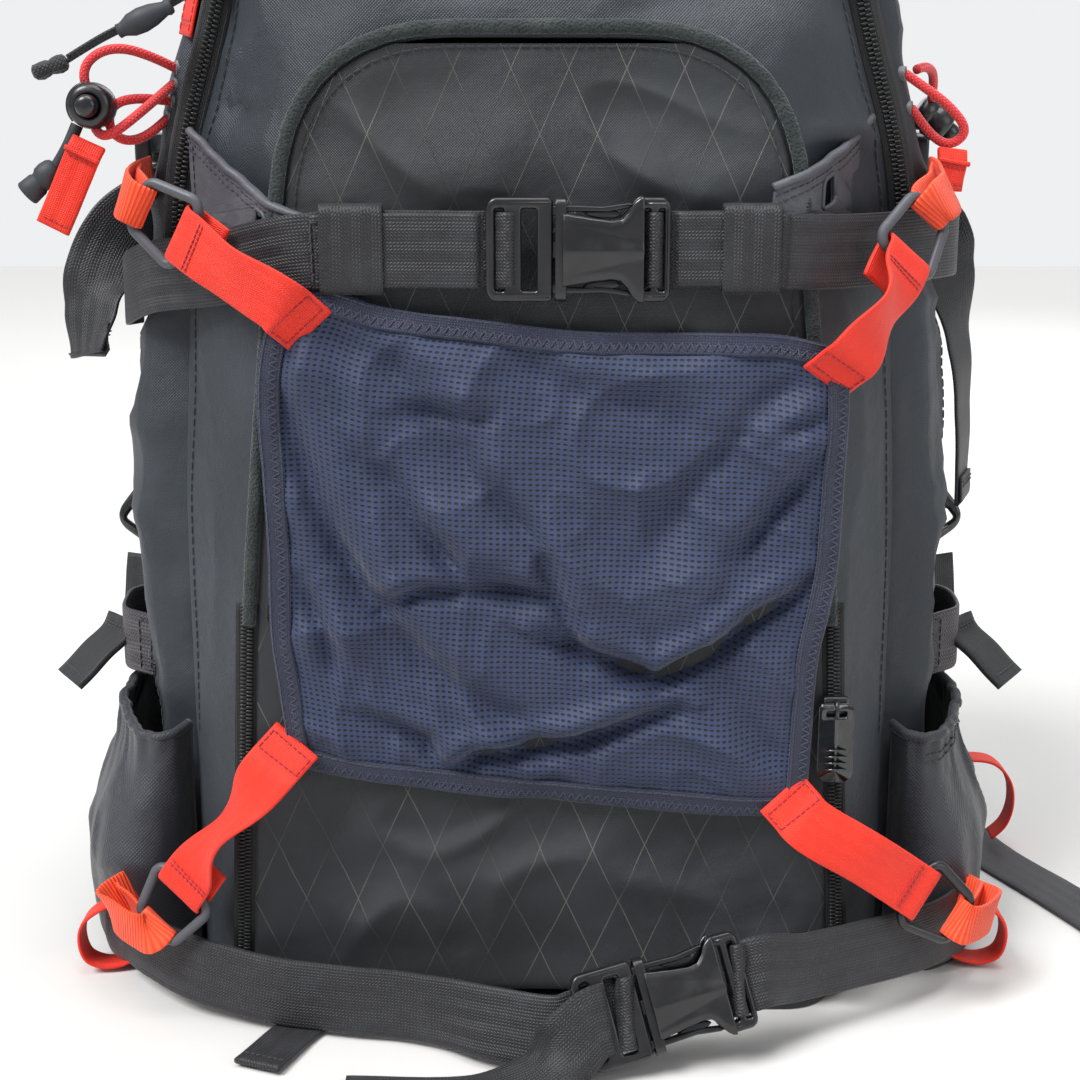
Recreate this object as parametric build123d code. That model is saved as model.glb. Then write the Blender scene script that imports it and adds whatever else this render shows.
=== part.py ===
from build123d import *
import math
import os

# A touring backpack for skiers, about 30 litres. Millimetres.
# X runs across the pack, -Y is its outer face, +Y the wearer's back, +Z up.
# The origin is on the floor, under the middle of the base.

# Driving dimensions of the bag
BODY_FRONT = -50.0          # plane of the front zip
BODY_BACK = 78.0            # plane that the back panel lies on
FABRIC = 2.5                # wall of a fabric shell, lining and padding included
BASE_THICK = 3.0
POCKET_FACE = -92.0         # outer face of the front pocket

# Webbing and hardware
WEB = 25.0                  # black compression webbing
WEB_THICK = 1.6
TAB = 20.0                  # red webbing
TAB_THICK = 1.2
RING_WIRE = 3.6             # plastic wire of the corner rings
BUCKLE_HALF = 17.0          # half the width of a side-release buckle
SHOCK = 3.4                 # elastic cord
LACE = 2.0                  # thin cord on the zip pull

UP = Vector(0, 0, 1)


# ---------------------------------------------------------------- helpers

def block(x0, x1, y0, y1, z0, z1):
    """A box between two corners."""
    size = (x1 - x0, y1 - y0, z1 - z0)
    return Pos((x0 + x1) / 2, (y0 + y1) / 2, (z0 + z1) / 2) * Box(*size)


def polygon_prism(points, plane, depth):
    """A flat outline on a plane, pushed along the plane's normal."""
    face = make_face(plane * Polyline(*points, close=True))
    return extrude(face, amount=depth, dir=plane.z_dir)


def ribbon(points, width, thick, across, radii):
    """Webbing that follows a route of straight runs and tangent arcs."""
    if len(points) > 2:
        path = FilletPolyline(*points, radius=radii)
    else:
        path = Line(*points)
    along = path % 0
    side = (Vector(*across) - along * along.dot(Vector(*across))).normalized()
    start = Plane(origin=path @ 0, x_dir=side, z_dir=along)
    return sweep(start * Rectangle(width, thick), path=path)


def band(points, sides, width, thick):
    """Webbing that twists: a flat section at each point, joined by straight stretches."""
    stops = [Vector(*p) for p in points]
    sections = []
    for i, (here, side) in enumerate(zip(stops, sides)):
        along = (stops[min(i + 1, len(stops) - 1)] - stops[max(i - 1, 0)]).normalized()
        across = (Vector(*side) - along * along.dot(Vector(*side))).normalized()
        sections.append(Plane(origin=here, x_dir=across, z_dir=along) * Rectangle(width, thick))
    return loft(sections, ruled=True)


def cord(name, points, diameter):
    """A round cord: each arc is as large as its two runs allow."""
    stops = [Vector(*p) for p in points]
    radii = []
    for before, here, after in zip(stops, stops[1:], stops[2:]):
        turn = math.radians((here - before).get_angle(after - here))
        shorter = min((here - before).length, (after - here).length)
        radii.append(0.45 * shorter / math.tan(turn / 2))
    path = FilletPolyline(*stops, radius=radii)
    start = Plane(origin=path @ 0, z_dir=path % 0)
    tube = sweep(start * Circle(diameter / 2), path=path)
    expected = math.pi * diameter ** 2 / 4 * path.length
    print(f"{name}: length {path.length:.1f}, volume {tube.volume:.1f} of {expected:.1f},",
          "radii", [round(r, 1) for r in radii])
    return tube


def mirrored(solid):
    return mirror(solid, about=Plane.YZ)


def save(name, *solids):
    """One node: one STEP file with one or more separate solids."""
    pieces = [s for shape in solids for s in shape.solids()]
    shape = pieces[0] if len(pieces) == 1 else Compound(children=pieces)
    export_step(shape, f"parts/{name}.step")


# ------------------------------------------------------- bag and its panels

# Height, half width at the front plane, half width at the sides, front, back
BODY_STATIONS = [
    (3, 139, 150, -50, 78), (180, 139, 150, -50, 78), (243, 135, 148, -50, 78),
    (306, 132, 140, -50, 78), (366, 116, 126, -50, 78), (420, 104, 114, -50, 78),
    (446, 98, 108, -50, 76), (478, 84, 94, -32, 66), (500, 58, 68, -8, 48),
]
CORNER_DEPTH = 22.0         # front to side chamfer of the bag, front to back
CORNER_BACK = 14.0          # side to back chamfer

# Half outlines (x, z) of the two ends of the front panel's slope
ZIP_LINE = [(131, 3), (131, 186), (127, 242), (125, 306), (107, 363), (94, 432)]
POCKET_LINE = [(106, 6), (99, 158), (92, 230), (86, 280), (84, 296), (78, 348)]
ZIP_CORNER = 38.0
ARCH_FACETS = 5
POCKET_CORNER = 46.0


def body_section(z, front_half, side_half, front, back, inset):
    """The bag's eight-sided plan at one height."""
    f = front_half - inset * 0.6
    s = side_half - inset
    b = s - CORNER_BACK + inset * 0.4
    y0, y1, y2, y3 = front + inset, front + CORNER_DEPTH, back - CORNER_BACK, back - inset
    half = [(f, y0), (s, y1), (s, y2), (b, y3)]
    points = [(x, y, z) for x, y in half] + [(-x, y, z) for x, y in reversed(half)]
    return make_face(Polyline(*points, close=True))


def body_loft(inset):
    stations = []
    floor, top = BODY_STATIONS[0][0], BODY_STATIONS[-1][0]
    shift = {floor: -min(inset, 1), top: -inset}
    for z, front_half, side_half, front, back in BODY_STATIONS:
        level = z + shift.get(z, 0)
        stations.append(body_section(level, front_half, side_half, front, back, inset))
    return loft(stations, ruled=True)


def arch_face(half, corner, y, grow=0.0):
    """An arch that is symmetric in x, with its two top corners rounded in short facets."""
    right = [(x + grow, z) for x, z in half[:-1]]
    top_x, top_z = half[-1][0] + grow, half[-1][1] + grow
    heading = math.atan2(top_z - right[-1][1], top_x - right[-1][0])
    turn = math.pi - heading
    radius = corner + grow
    back = radius * math.tan(turn / 2)
    centre_x = top_x - math.cos(heading) * back - math.sin(heading) * radius
    centre_z = top_z - math.sin(heading) * back + math.cos(heading) * radius
    for step in range(ARCH_FACETS + 1):
        angle = heading + turn * step / ARCH_FACETS
        right.append((centre_x + radius * math.sin(angle), centre_z - radius * math.cos(angle)))
    points = [(x, y, z) for x, z in right] + [(-x, y, z) for x, z in reversed(right)]
    return make_face(Polyline(*points, close=True))


def arch_ring(half, corner, y, inner, outer, depth, floor):
    """A flat band that follows an arch, above a given height."""
    band = extrude(arch_face(half, corner, y, outer), amount=depth, dir=(0, -1, 0))
    band -= extrude(arch_face(half, corner, y, inner), amount=depth, dir=(0, -1, 0))
    return band - block(-200, 200, y - 20, y + 20, -20, floor)


def main_shell():
    return body_loft(0) - body_loft(FABRIC)


def base_panel():
    """Bottom plate: its underside is what the pack stands on."""
    half = [(100, -90), (131, -54), (150, -28), (150, 64), (136, 78)]
    points = half + [(-x, y) for x, y in reversed(half)]
    return polygon_prism(points, Plane.XY, BASE_THICK)


def front_panel():
    """Sloping fabric between the front zip and the pocket cover."""
    rim = POCKET_FACE + FABRIC
    outer = loft([arch_face(ZIP_LINE, ZIP_CORNER, BODY_FRONT),
                  arch_face(POCKET_LINE, POCKET_CORNER, rim)], ruled=True)
    inner = loft([arch_face(ZIP_LINE, ZIP_CORNER, BODY_FRONT - 2, -3.2),
                  arch_face(POCKET_LINE, POCKET_CORNER, rim - 1, -3.2)], ruled=True)
    inner -= block(-200, 200, -200, 0, -5, POCKET_LINE[0][1] + 2)
    return outer - inner


def pocket_cover():
    return extrude(arch_face(POCKET_LINE, POCKET_CORNER, POCKET_FACE), amount=FABRIC, dir=(0, 1, 0))


def pocket_piping():
    """Round welt along the edge of the pocket cover."""
    out = 3.5
    right = [(x + out, POCKET_FACE + 1, z) for x, z in POCKET_LINE[1:-1]]
    right[0] = (right[0][0], right[0][1], right[0][2] + 4)
    right.append((POCKET_LINE[-1][0] + out, POCKET_FACE + 1, POCKET_LINE[-1][1] + out))
    points = right + [(-x, y, z) for x, y, z in reversed(right)]
    side = [60, 60, 12]
    path = FilletPolyline(*points, radius=side + [POCKET_CORNER] * 2 + side[::-1])
    return sweep(Plane(origin=path @ 0, z_dir=path % 0) * Circle(2.75), path=path)


def zip_leg_point(z):
    """Middle of the pocket zip's right leg at a height below its bend."""
    (x0, z0), (x1, z1) = POCKET_LINE[:2]
    return Vector(x0 + (x1 - x0) * (z - z0) / (z1 - z0) + 3.8, POCKET_FACE + 0.4, z)


def zip_chains():
    """The main zip round the front panel, and the two legs of the pocket's zip."""
    main = arch_ring(ZIP_LINE, ZIP_CORNER, BODY_FRONT, 0.5, 7.0, 2.0, 195)
    leg = ribbon([zip_leg_point(16), zip_leg_point(158)], 6, 2.2, (1, 0, 0), 0)
    return main, leg, mirrored(leg)


def frame_pieces():
    """Stiffening sheet and stay that lie against the inside of the back."""
    sheet = block(-110, 110, 71.5, 73, 20, 310) + block(-86, 86, 71.5, 73, 310, 425)
    stay = block(-6, 6, 68.3, 71.3, 25, 425)
    return sheet, stay


def tool_divider():
    """Sleeve in the front pocket that holds a shovel blade and a probe."""
    return block(-88, 88, -71.5, -70, 12, 215) + block(-70, 70, -71.5, -70, 215, 285)


def back_panel():
    """Moulded foam against the wearer's back, with a channel down its middle."""
    outline = [(-112, 30), (112, 30), (118, 250), (88, 430), (-88, 430), (-118, 250)]
    plane = Plane(origin=(0, BODY_BACK, 0), x_dir=(1, 0, 0), z_dir=(0, -1, 0))
    pad = polygon_prism([(x, z) for x, z in outline], plane, -16)
    channel = block(-14, 14, BODY_BACK + 6, BODY_BACK + 20, 110, 440)
    cross = block(-200, 200, BODY_BACK + 6, BODY_BACK + 20, 228, 244)
    return pad - channel - cross


def side_pocket():
    """Stretch pocket on the right lower side, open at the top."""
    plan = [(134, -50.4), (150, -66), (170, -49), (178, -15), (178, 45), (167, 70),
            (151, 76), (150.3, 61), (150.3, -28), (139.3, -50.4)]
    wall = polygon_prism(plan, Plane.XY, 140)
    hollow_face = offset(make_face(Polyline(*plan, close=True)), amount=-2)
    hollow = extrude(Pos(0, 0, 3) * hollow_face, amount=150)
    above = polygon_prism([(-80, 80), (40, 104), (90, 122), (90, 160), (-80, 160)],
                          Plane(origin=(100, 0, 0), x_dir=(0, 1, 0), z_dir=(1, 0, 0)), 100)
    return wall - hollow - above


def wing():
    """Left reinforcement patch between the zip and the upper strap, with its slot."""
    plane = Plane(origin=(-86, -93.2, 0), x_dir=(0.69, -0.724, 0), z_dir=(-0.724, -0.69, 0))
    patch = polygon_prism([(-6, 298), (-30, 312), (-52, 322), (-52, 284), (-24, 284), (-9, 290)],
                          plane, 1.2)
    slot = polygon_prism([(-26, 292), (-34, 296), (-34, 305), (-26, 300)], plane, 3)
    return patch - Pos(0.7, 0.7, 0) * slot


# ------------------------------------------------------------- front straps

UPPER_Z = 282.0             # middle of the upper strap at its buckle
UPPER_PLANE = -101.0        # middle of the buckle's thickness
BUCKLE_X = 12.5


def upper_strap(side):
    """From the buckle over the slope of the front panel to the side of the bag."""
    near = BUCKLE_X + side * 31.2
    drop = -23 if side < 0 else -2
    points = [(near, -100, UPPER_Z), (side * 62, -98.8, UPPER_Z), (side * 89, -99.6, UPPER_Z - 2),
              (side * 140.5, -53.4, UPPER_Z + drop * 0.6), (side * 153.4, -31, UPPER_Z + drop),
              (side * 153.4, -6, UPPER_Z + drop)]
    return ribbon(points, WEB, WEB_THICK, UP, [40, 30, 8, 12])


def strap_keepers():
    """Elastic loops that hold the folded webbing beside the buckle."""
    keepers = []
    for x0, x1 in ((-73, -52), (60.5, 79.5)):
        outside = block(x0, x1, -101.4, -94.8, UPPER_Z - 15, UPPER_Z + 15)
        keepers.append(outside - block(x0 - 1, x1 + 1, -100.4, -95.8, UPPER_Z - 13.8, UPPER_Z + 13.8))
    return keepers


def buckle_socket():
    """Female half, about its own centre: x along the strap, z across it."""
    body = block(-7.5, 19, -4.5, 4.5, -14, 14)
    body = fillet(body.edges().filter_by(Axis.Y), radius=3)
    body += block(17, 30.5, -3, 3, -BUCKLE_HALF, BUCKLE_HALF)
    body -= block(-9, 15, -2.9, 2.9, -11, 11)
    body -= block(1, 12, -2.6, 2.6, -20, 20)
    return body - block(20.5, 26.5, -6, 6, -13.2, 13.2)


def buckle_plug():
    """Male half: two arms and a guide, and a ladder for the webbing."""
    frame = block(-30.5, -8.2, -3, 3, -BUCKLE_HALF, BUCKLE_HALF)
    frame = fillet(frame.edges().filter_by(Axis.Y), radius=3)
    for x0 in (-27, -18.5):
        frame -= block(x0, x0 + 5.5, -6, 6, -13.2, 13.2)
    for side in (-1, 1):
        arm = [(-9, side * 5), (-9, side * 9), (9, side * 10.4), (13, side * 7.5), (9, side * 6)]
        plane = Plane(origin=(0, 2.2, 0), x_dir=(1, 0, 0), z_dir=(0, -1, 0))
        frame += polygon_prism(arm, plane, 4.4)
    return frame + block(-9, 7, -2, 2, -1.8, 1.8)


UPPER_PLACE = Location((BUCKLE_X, UPPER_PLANE, UPPER_Z))


def lower_frame():
    """Axes of the lower buckle, which leans back on the slack strap."""
    along = Vector(0.95, 0.2, 0.2).normalized()
    lean = Vector(0.0, 0.37, 0.93)
    upward = (lean - along * lean.dot(along)).normalized()
    return Plane(origin=(43, -130, 25), x_dir=along, z_dir=upward)


def lower_place(solid):
    return lower_frame().location * solid


def lower_strap(side):
    """Slack lower strap between the buckle and the foot of the bag."""
    frame = lower_frame()
    start = frame.from_local_coords(Vector(side * 31.0, 0, 0))
    level = frame.from_local_coords(Vector(side * 38.0, 0, 0))
    leaning, upright = tuple(frame.z_dir), (0, 0.1, 1)
    if side < 0:
        points = [(-14, -130, 16), (-42, -116, 14.5), (-98, -105, 15.5), (-146, -82, 20.5),
                  (-162, -63, 22)]
    else:
        points = [(92, -114, 29.5), (114, -102, 27.5), (148, -80, 25.5), (163, -60, 24)]
    sides = [leaning, leaning, leaning] + [upright] * (len(points) - 1)
    return band([tuple(start), tuple(level)] + points, sides, WEB, WEB_THICK)


def lower_strap_tail():
    """Free end of the webbing: out of the plug's ladder and down on the floor."""
    frame = lower_frame()
    start = frame.from_local_coords(Vector(-23, -4.4, 0))
    bend = frame.from_local_coords(Vector(-31, -6.5, -3))
    points = [tuple(start), tuple(bend), (-2, -151, 5.5), (-24, -152, 1.2), (-68, -152, 1.2)]
    sides = [tuple(frame.z_dir), tuple(frame.z_dir), (0, 0.9, 0.35), (0, 1, 0), (0, 1, 0)]
    return band(points, sides, WEB, WEB_THICK)


# ---------------------------------------------- mesh panel, tabs and rings

MESH_FRONT = -98.0
MESH_CORNERS = {            # x, z of the panel's corners
    "upper_left": (-86, 264), "upper_right": (105, 247),
    "lower_right": (95, 81), "lower_left": (-95, 101),
}
# Middle of the bar that each tab is folded round
RING_BARS = {
    "upper_left": (-119, -86.5, 285), "upper_right": (123, -84.5, 277),
    "lower_left": (-129, -94, 52), "lower_right": (137, -94, 50),
}
# Where each red anchor loop is sewn to the bag
RING_ANCHORS = {
    "upper_left": (-139, -41, 303), "upper_right": (139, -41, 303),
    "lower_left": (-152, -62, 40), "lower_right": (158, -58, 34),
}


def helmet_mesh():
    """Four-cornered panel that holds a helmet against the pack."""
    points = list(MESH_CORNERS.values())
    plane = Plane(origin=(0, MESH_FRONT, 0), x_dir=(1, 0, 0), z_dir=(0, -1, 0))
    return polygon_prism(points, plane, -3)


def ring_axes(corner):
    """The ring's bar, the way to its far end, and its face's normal."""
    bar = Vector(*RING_BARS[corner])
    x, z = MESH_CORNERS[corner]
    sewn = Vector(x, MESH_FRONT, z)
    away = (bar - sewn).normalized()
    outward = Vector(math.copysign(0.45, x), -0.9, 0)
    normal = (outward - away * outward.dot(away)).normalized()
    return bar, away, normal, away.cross(normal)


def ring(corner):
    """Wire ring: a wide bar for the tab, narrower at the anchor loop."""
    bar, away, normal, along = ring_axes(corner)
    outline = [(-13.5, 0), (13.5, 0), (9, 21), (-9, 21)]
    points = [bar + along * a + away * b for a, b in outline]
    path = FilletPolyline(*points, radius=4, close=True)
    return sweep(Plane(origin=path @ 0, z_dir=path % 0) * Circle(RING_WIRE / 2), path=path)


def mesh_tab(corner):
    """Red webbing sewn on the mesh's corner and folded round the ring's bar."""
    bar, away, normal, along = ring_axes(corner)
    x, z = MESH_CORNERS[corner]
    lift = TAB_THICK / 2
    inward = Vector(-math.copysign(1, x), 0, -1 if z > 150 else 1).normalized()
    on_mesh = Vector(x, MESH_FRONT - lift, z)
    gap = 3.6
    points = [on_mesh + inward * 13, on_mesh + inward * 1, bar + normal * gap + away * 4.6,
              bar - normal * gap + away * 4.6, bar - normal * gap - away * 12]
    points[1] = points[1] + Vector(0, -6.5, 0)
    return ribbon(points, TAB, TAB_THICK, along, [8, 3.2, 3.2])


def anchor_loop(corner):
    """Red loop that goes through the ring's far end and is sewn to the bag."""
    bar, away, normal, along = ring_axes(corner)
    end = bar + away * 21
    spread = 5.5
    sewn = Vector(*RING_ANCHORS[corner])
    behind, before = end + away * 8 - normal * spread, end + away * 8 + normal * spread
    turn = [behind, end - away * 5.6 - normal * spread, end - away * 5.6 + normal * spread, before]
    loop = ribbon(turn, 10.5, TAB_THICK, along, [4.5, 4.5])
    for leg in (behind, before):
        loop += ribbon([leg - away * 0.5, sewn], 10.5, TAB_THICK, along, 0)
    return loop


# ------------------------------------------- side straps, loops and hardware

def side_buckle(side):
    """Ladder buckle of a side compression strap, flat against the bag's side."""
    y = -10 if side < 0 else 18
    plate = block(143.2, 149, y - 15, y + 15, 291, 318)
    plate = fillet(plate.edges().filter_by(Axis.X), radius=4)
    for z0 in (295, 306):
        plate -= block(140, 152, y - 11, y + 11, z0, z0 + 4.5)
    return plate if side > 0 else mirrored(plate)


def side_tail(side):
    """Free end of a side strap: it leaves its buckle on edge, then droops and turns flat."""
    if side < 0:
        points = [(-151.6, 4, 291), (-162.5, -1, 281), (-169, -8, 266), (-171, -14, 252),
                  (-172.5, -20, 236)]
        sides = [(0, 0.3, -0.95), (0.35, 0.1, -0.9), (0.62, -0.2, -0.76), (0.7, -0.5, -0.3),
                 (0.62, -0.78, 0)]
    else:
        points = [(151.2, 14, 288), (156, 12, 279), (160.5, 10, 264), (165, 8, 239), (168, 6, 211),
                  (168.5, 5, 174)]
        sides = [(0, 0.3, -0.95), (-0.35, 0.1, -0.9), (-0.55, -0.4, -0.6), (-0.45, -0.8, -0.2),
                 (-0.4, -0.9, 0), (-0.35, -0.94, 0)]
    return band(points, sides, WEB, WEB_THICK)


def base_tab():
    """Folded webbing that sticks out from under the front of the base."""
    return ribbon([(-86, -90.2, 1.5), (-86, -102, 1.5), (-99, -134, 2.4)], 18, 2.4, (1, 0, 0), 30)


def zip_strip():
    """Red webbing sewn beside the left run of the main zip, on the bag's front chamfer."""
    return ribbon([(-125.3, -39.4, 352), (-113.1, -39.4, 405)], 18, TAB_THICK, (-0.414, 0.91, 0), 0)


def ski_loop(side):
    """Loop on the side of the bag that carries a ski, and its folded pull tab."""
    z = 121.5
    loop = ribbon([(150.9, -24, z), (166, -12, z), (168, 18, z), (150.9, 34, z)], WEB,
                  WEB_THICK, UP, [8, 8])
    tab = ribbon([(168.9, -2, z + 2), (178, -8, z - 6), (188, -15, z - 17)], WEB, 2.6, UP, 20)
    return (loop, tab) if side > 0 else (mirrored(loop), mirrored(tab))


def tool_loops():
    """Narrow red loops at the foot of the bag: one at each front corner, one behind."""
    def corner(cx, cy, turn):
        points = [(cx, cy, 26), (cx + turn * 12, cy - 2, 27), (cx + turn * 22, cy - 3, 15),
                  (cx + turn * 15, cy - 2, 2.2), (cx + turn * 1, cy, 4)]
        return ribbon(points, 11, TAB_THICK, (0, 1, 0), [5, 8, 6])
    rear = ribbon([(172, 62, 30), (186, 62, 42), (205, 61, 41), (213, 61, 22), (204, 62, 6)],
                  11, TAB_THICK, (0, 1, 0), [10, 10, 16])
    return corner(-157, -54, -1), corner(160, -50, 1), rear


# ------------------------------------------------------ elastic cords, locks

EYELETS = [(-127.6, -39, 341), (-128.6, -39, 335.5), (-130, -39, 329.5), (-131.4, -39, 323.5),
           (128, -39, 339), (130.8, -39, 327)]
EYELET_DEPTH = 2.2


def eyelet_axis(point):
    return Vector(math.copysign(0.925, point[0]), -0.38, 0)


def eyelets():
    """Small grommets in the chamfer between the bag's front and its sides."""
    shapes = []
    for point in EYELETS:
        plane = Plane(origin=Vector(*point) - eyelet_axis(point) * 0.6, z_dir=eyelet_axis(point))
        shapes.append(extrude(plane * Circle(2.7), amount=EYELET_DEPTH + 0.6))
    return shapes


def eyelet_mouth(index):
    point = EYELETS[index]
    return Vector(*point) + eyelet_axis(point) * EYELET_DEPTH


LOCK_LEFT = Vector(-155, -60, 328)
LOCK_RIGHT = Vector(146.5, -10, 323)
LOCK_RIGHT_AXIS = Vector(0.8, 0, -0.6)
LOCK_AXES = {"left": (LOCK_LEFT, Vector(0, -1, 0), 8.0), "right": (LOCK_RIGHT, LOCK_RIGHT_AXIS, 6.5)}


def cord_lock(side):
    """Barrel with a blind bore for its sprung button."""
    centre, axis, radius = LOCK_AXES[side]
    plane = Plane(origin=centre - axis * 7, z_dir=axis)
    barrel = extrude(plane * Circle(radius), amount=14)
    return barrel - extrude(plane.offset(6.4) * Circle(4.3), amount=10)


def cord_button(side):
    centre, axis, _ = LOCK_AXES[side]
    return extrude(Plane(origin=centre + axis * 3, z_dir=axis) * Circle(4.0), amount=8.5)


LEFT_CORD = [(-140, -49, 347), (-151, -55, 347.5), (-159, -56, 341), (-157, -56, 331),
             (-155.5, -58, 320), (-150, -62.5, 317), (-139.5, -58.5, 325)]
LEFT_LOW_CORD = [(-140, -46.5, 331), (-149.5, -54.5, 329), (-151, -56, 320.5),
                 (-146, -54, 315.5), (-138.5, -47, 317.5)]
RIGHT_CORD = [(136, -40, 335), (147, -37, 328), (155, -34, 319), (149, -32, 313.5),
              (141, -33, 317.5)]
RIGHT_REAR_CORD = [(134.8, -35, 340.5), (139.5, -30, 342.5), (145, -20, 338), (145.5, -11, 328)]
ZIP_CORD_IN = [(-109.8, -58.2, 371), (-116, -60, 367), (-125.6, -61, 361.4)]
ZIP_CORD_OUT = [(-144.4, -62, 352.6), (-152.5, -62.5, 348.6), (-162.5, -63, 342.6)]


def route(first, middle, last=None):
    """A cord's points between two eyelets, a short way straight out of each."""
    mouth = eyelet_mouth(first)
    points = [tuple(mouth)] + middle
    return points + [tuple(eyelet_mouth(last))] if last is not None else points


def cord_tabs():
    """Red pull tabs that are looped on the elastic cords."""
    left = ribbon([(-156.2, -63, 314.5), (-170.5, -63, 286.5)], 12, 2.4, (0.9, 0, 0.45), 0)
    right = ribbon([(149, -36, 312.5), (147.5, -37, 298)], 11, 2.4, (0.95, 0.2, -0.25), 0)
    return left, right


def cord_bell():
    """Rubber stem and bell that end the elastic cord under the left lock."""
    stem = cord("cord_bell stem", [(-161.5, -56.5, 321.5), (-165, -57.5, 314), (-170, -58, 306)], 4.4)
    plane = Plane(origin=(-169, -57.9, 307.2), z_dir=(-0.76, -0.05, -0.64))
    return stem + loft([plane * Circle(3.2), plane.offset(4) * Circle(4.8),
                        plane.offset(8) * Circle(4.0), plane.offset(14.5) * Circle(4.8)], ruled=True)


MAIN_ZIP_DIR = Vector(13, 0, 69).normalized()


def main_zip_slider():
    """Slider of the main zip on its left straight run."""
    plane = Plane(origin=(-109.6, -54.9, 373), x_dir=(0, -1, 0), z_dir=MAIN_ZIP_DIR)
    body = plane.location * Box(4.6, 9, 13)
    return body


def zip_grip():
    """Moulded grip on the zip's cord, and the knot cover at the cord's end."""
    a, b = Vector(*ZIP_CORD_IN[-1]), Vector(*ZIP_CORD_OUT[0])
    plane = Plane(origin=a, z_dir=b - a)
    length = (b - a).length
    grip = loft([plane * Circle(2.6), plane.offset(length * 0.55) * Circle(4.4),
                 plane.offset(length) * Circle(2.4)], ruled=True)
    end = Vector(*ZIP_CORD_OUT[-1])
    tip = Plane(origin=end, z_dir=(-12.5, -0.3, -4.2))
    knot = loft([tip * Circle(1.8), tip.offset(3) * Circle(3), tip.offset(12) * Circle(3.2)],
                ruled=True)
    return grip, knot


PULL_Z = 122.0


def pocket_zip_slider():
    """Slider on the right leg of the pocket zip, with an eye for its pull."""
    centre = zip_leg_point(PULL_Z - 3)
    body = block(centre.X - 4.5, centre.X + 4.5, -96.0, POCKET_FACE - 1.0, PULL_Z - 9, PULL_Z + 3)
    eye = block(centre.X - 3, centre.X + 3, -100.4, -96, PULL_Z - 3.5, PULL_Z + 2.5)
    return body + eye - block(centre.X - 4, centre.X + 4, -99.4, -97, PULL_Z - 2.3, PULL_Z + 1.3)


def pocket_zip_pull():
    """Rubber pull that hangs from the eye of the slider."""
    x = zip_leg_point(PULL_Z - 3).X
    bar = block(x - 5.4, x + 5.4, -98.9, -97.5, PULL_Z - 1.2, PULL_Z + 0.2)
    pull = block(x - 5.4, x + 5.6, -99.6, -96.8, PULL_Z - 27, PULL_Z - 4.2)
    arms = block(x - 5.4, x - 3.6, -98.9, -97.5, PULL_Z - 5, PULL_Z)
    arms += block(x + 3.6, x + 5.4, -98.9, -97.5, PULL_Z - 5, PULL_Z)
    return pull + bar + arms


# --------------------------------------------------------- the wearer's side

def shoulder_strap():
    """Right shoulder strap: a long foam pad that curves away from the back."""
    points = [(52, 101, 420), (58, 126, 365), (86, 139, 290), (126, 133, 218), (158, 117, 168)]
    return ribbon(points, 56, 12, (1, 0.05, 0), [60, 80, 80])


LOCK_PLATE = Plane(origin=(176.5, 111.5, 142), x_dir=(0.76, -0.1, 0.62), z_dir=(0.6, -0.22, -0.77))


def ladder_lock():
    """Curved buckle at the lower end of the right shoulder strap."""
    plate = Box(34, 5, 26)
    plate = fillet(plate.edges().filter_by(Axis.Y), radius=7)
    for z0 in (-8.6, 2.6):
        plate -= Pos(0, 0, z0 + 3) * Box(24, 10, 6)
    return LOCK_PLATE.location * plate


def shoulder_webbing():
    """Webbing from below the right ladder lock to the foot of the bag."""
    points = [(181, 108, 125), (183, 103, 100), (176, 94, 70), (160, 84, 44)]
    return ribbon(points, 22, WEB_THICK, (0.85, 0.3, 0), [40, 40])


STERNUM_Z = 338.0
STERNUM_Y = 150.0
STERNUM_SCALE = 0.8


def sternum_webbing():
    """Right half of the chest strap, from the pad to the buckle."""
    points = [(92, 146.8, STERNUM_Z), (44, 148.5, STERNUM_Z), (25.2, STERNUM_Y, STERNUM_Z)]
    return ribbon(points, 19, WEB_THICK, UP, 30)


def sternum_part(shape):
    return Pos(0, STERNUM_Y, STERNUM_Z) * scale(shape, by=STERNUM_SCALE)


def hip_wing():
    """Right padded wing of the hip belt, folded round the back of the bag."""
    points = [(66, 101, 74), (118, 103, 72), (160, 116, 66), (174, 150, 60)]
    return ribbon(points, 88, 12, UP, [60, 30])


HIP_RIGHT = [(181, 149, 44), (185, 122, 14), (195, 70, 1.2), (222, 4, 1.2), (236, -32, 1.2)]
HIP_LEFT = [(-178, 150, 44), (-178, 172, 14), (-166, 198, 1.2), (-120, 214, 1.2), (-62, 217, 1.2)]


def hip_webbing():
    """Hip belt webbing: each side hangs from its wing to the floor and lies there."""
    right = band(HIP_RIGHT, [(1, 0.2, 0)] * 5, WEB, WEB_THICK)
    left = band(HIP_LEFT, [(1, 0, 0), (1, 0, 0), (0.8, -0.6, 0), (0, -1, 0), (0, -1, 0)], WEB, WEB_THICK)
    return right, left


def hip_buckle_halves():
    """Open hip buckle: each half lies flat at the end of its webbing."""
    along = (Vector(*HIP_RIGHT[-1]) - Vector(*HIP_RIGHT[-2])).normalized()
    half = 30.9
    at = Vector(*HIP_RIGHT[-1]) + along * half
    plug = Plane(origin=(at.X, at.Y, 4.8), x_dir=along, z_dir=along.cross(UP)).location * buckle_plug()
    along = (Vector(*HIP_LEFT[-2]) - Vector(*HIP_LEFT[-1])).normalized()
    at = Vector(*HIP_LEFT[-1]) - along * half
    socket = Plane(origin=(at.X, at.Y, 4.8), x_dir=along, z_dir=along.cross(UP)).location * buckle_socket()
    return plug, socket


HAUL_HALF = 42.0            # half the width of the handle
HAUL_TOP = 477.0
HAUL_FOOT = 432.6           # height of the hinge line
HAUL_PLANE = 86.5
HAUL_THICK = 2.4


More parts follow.
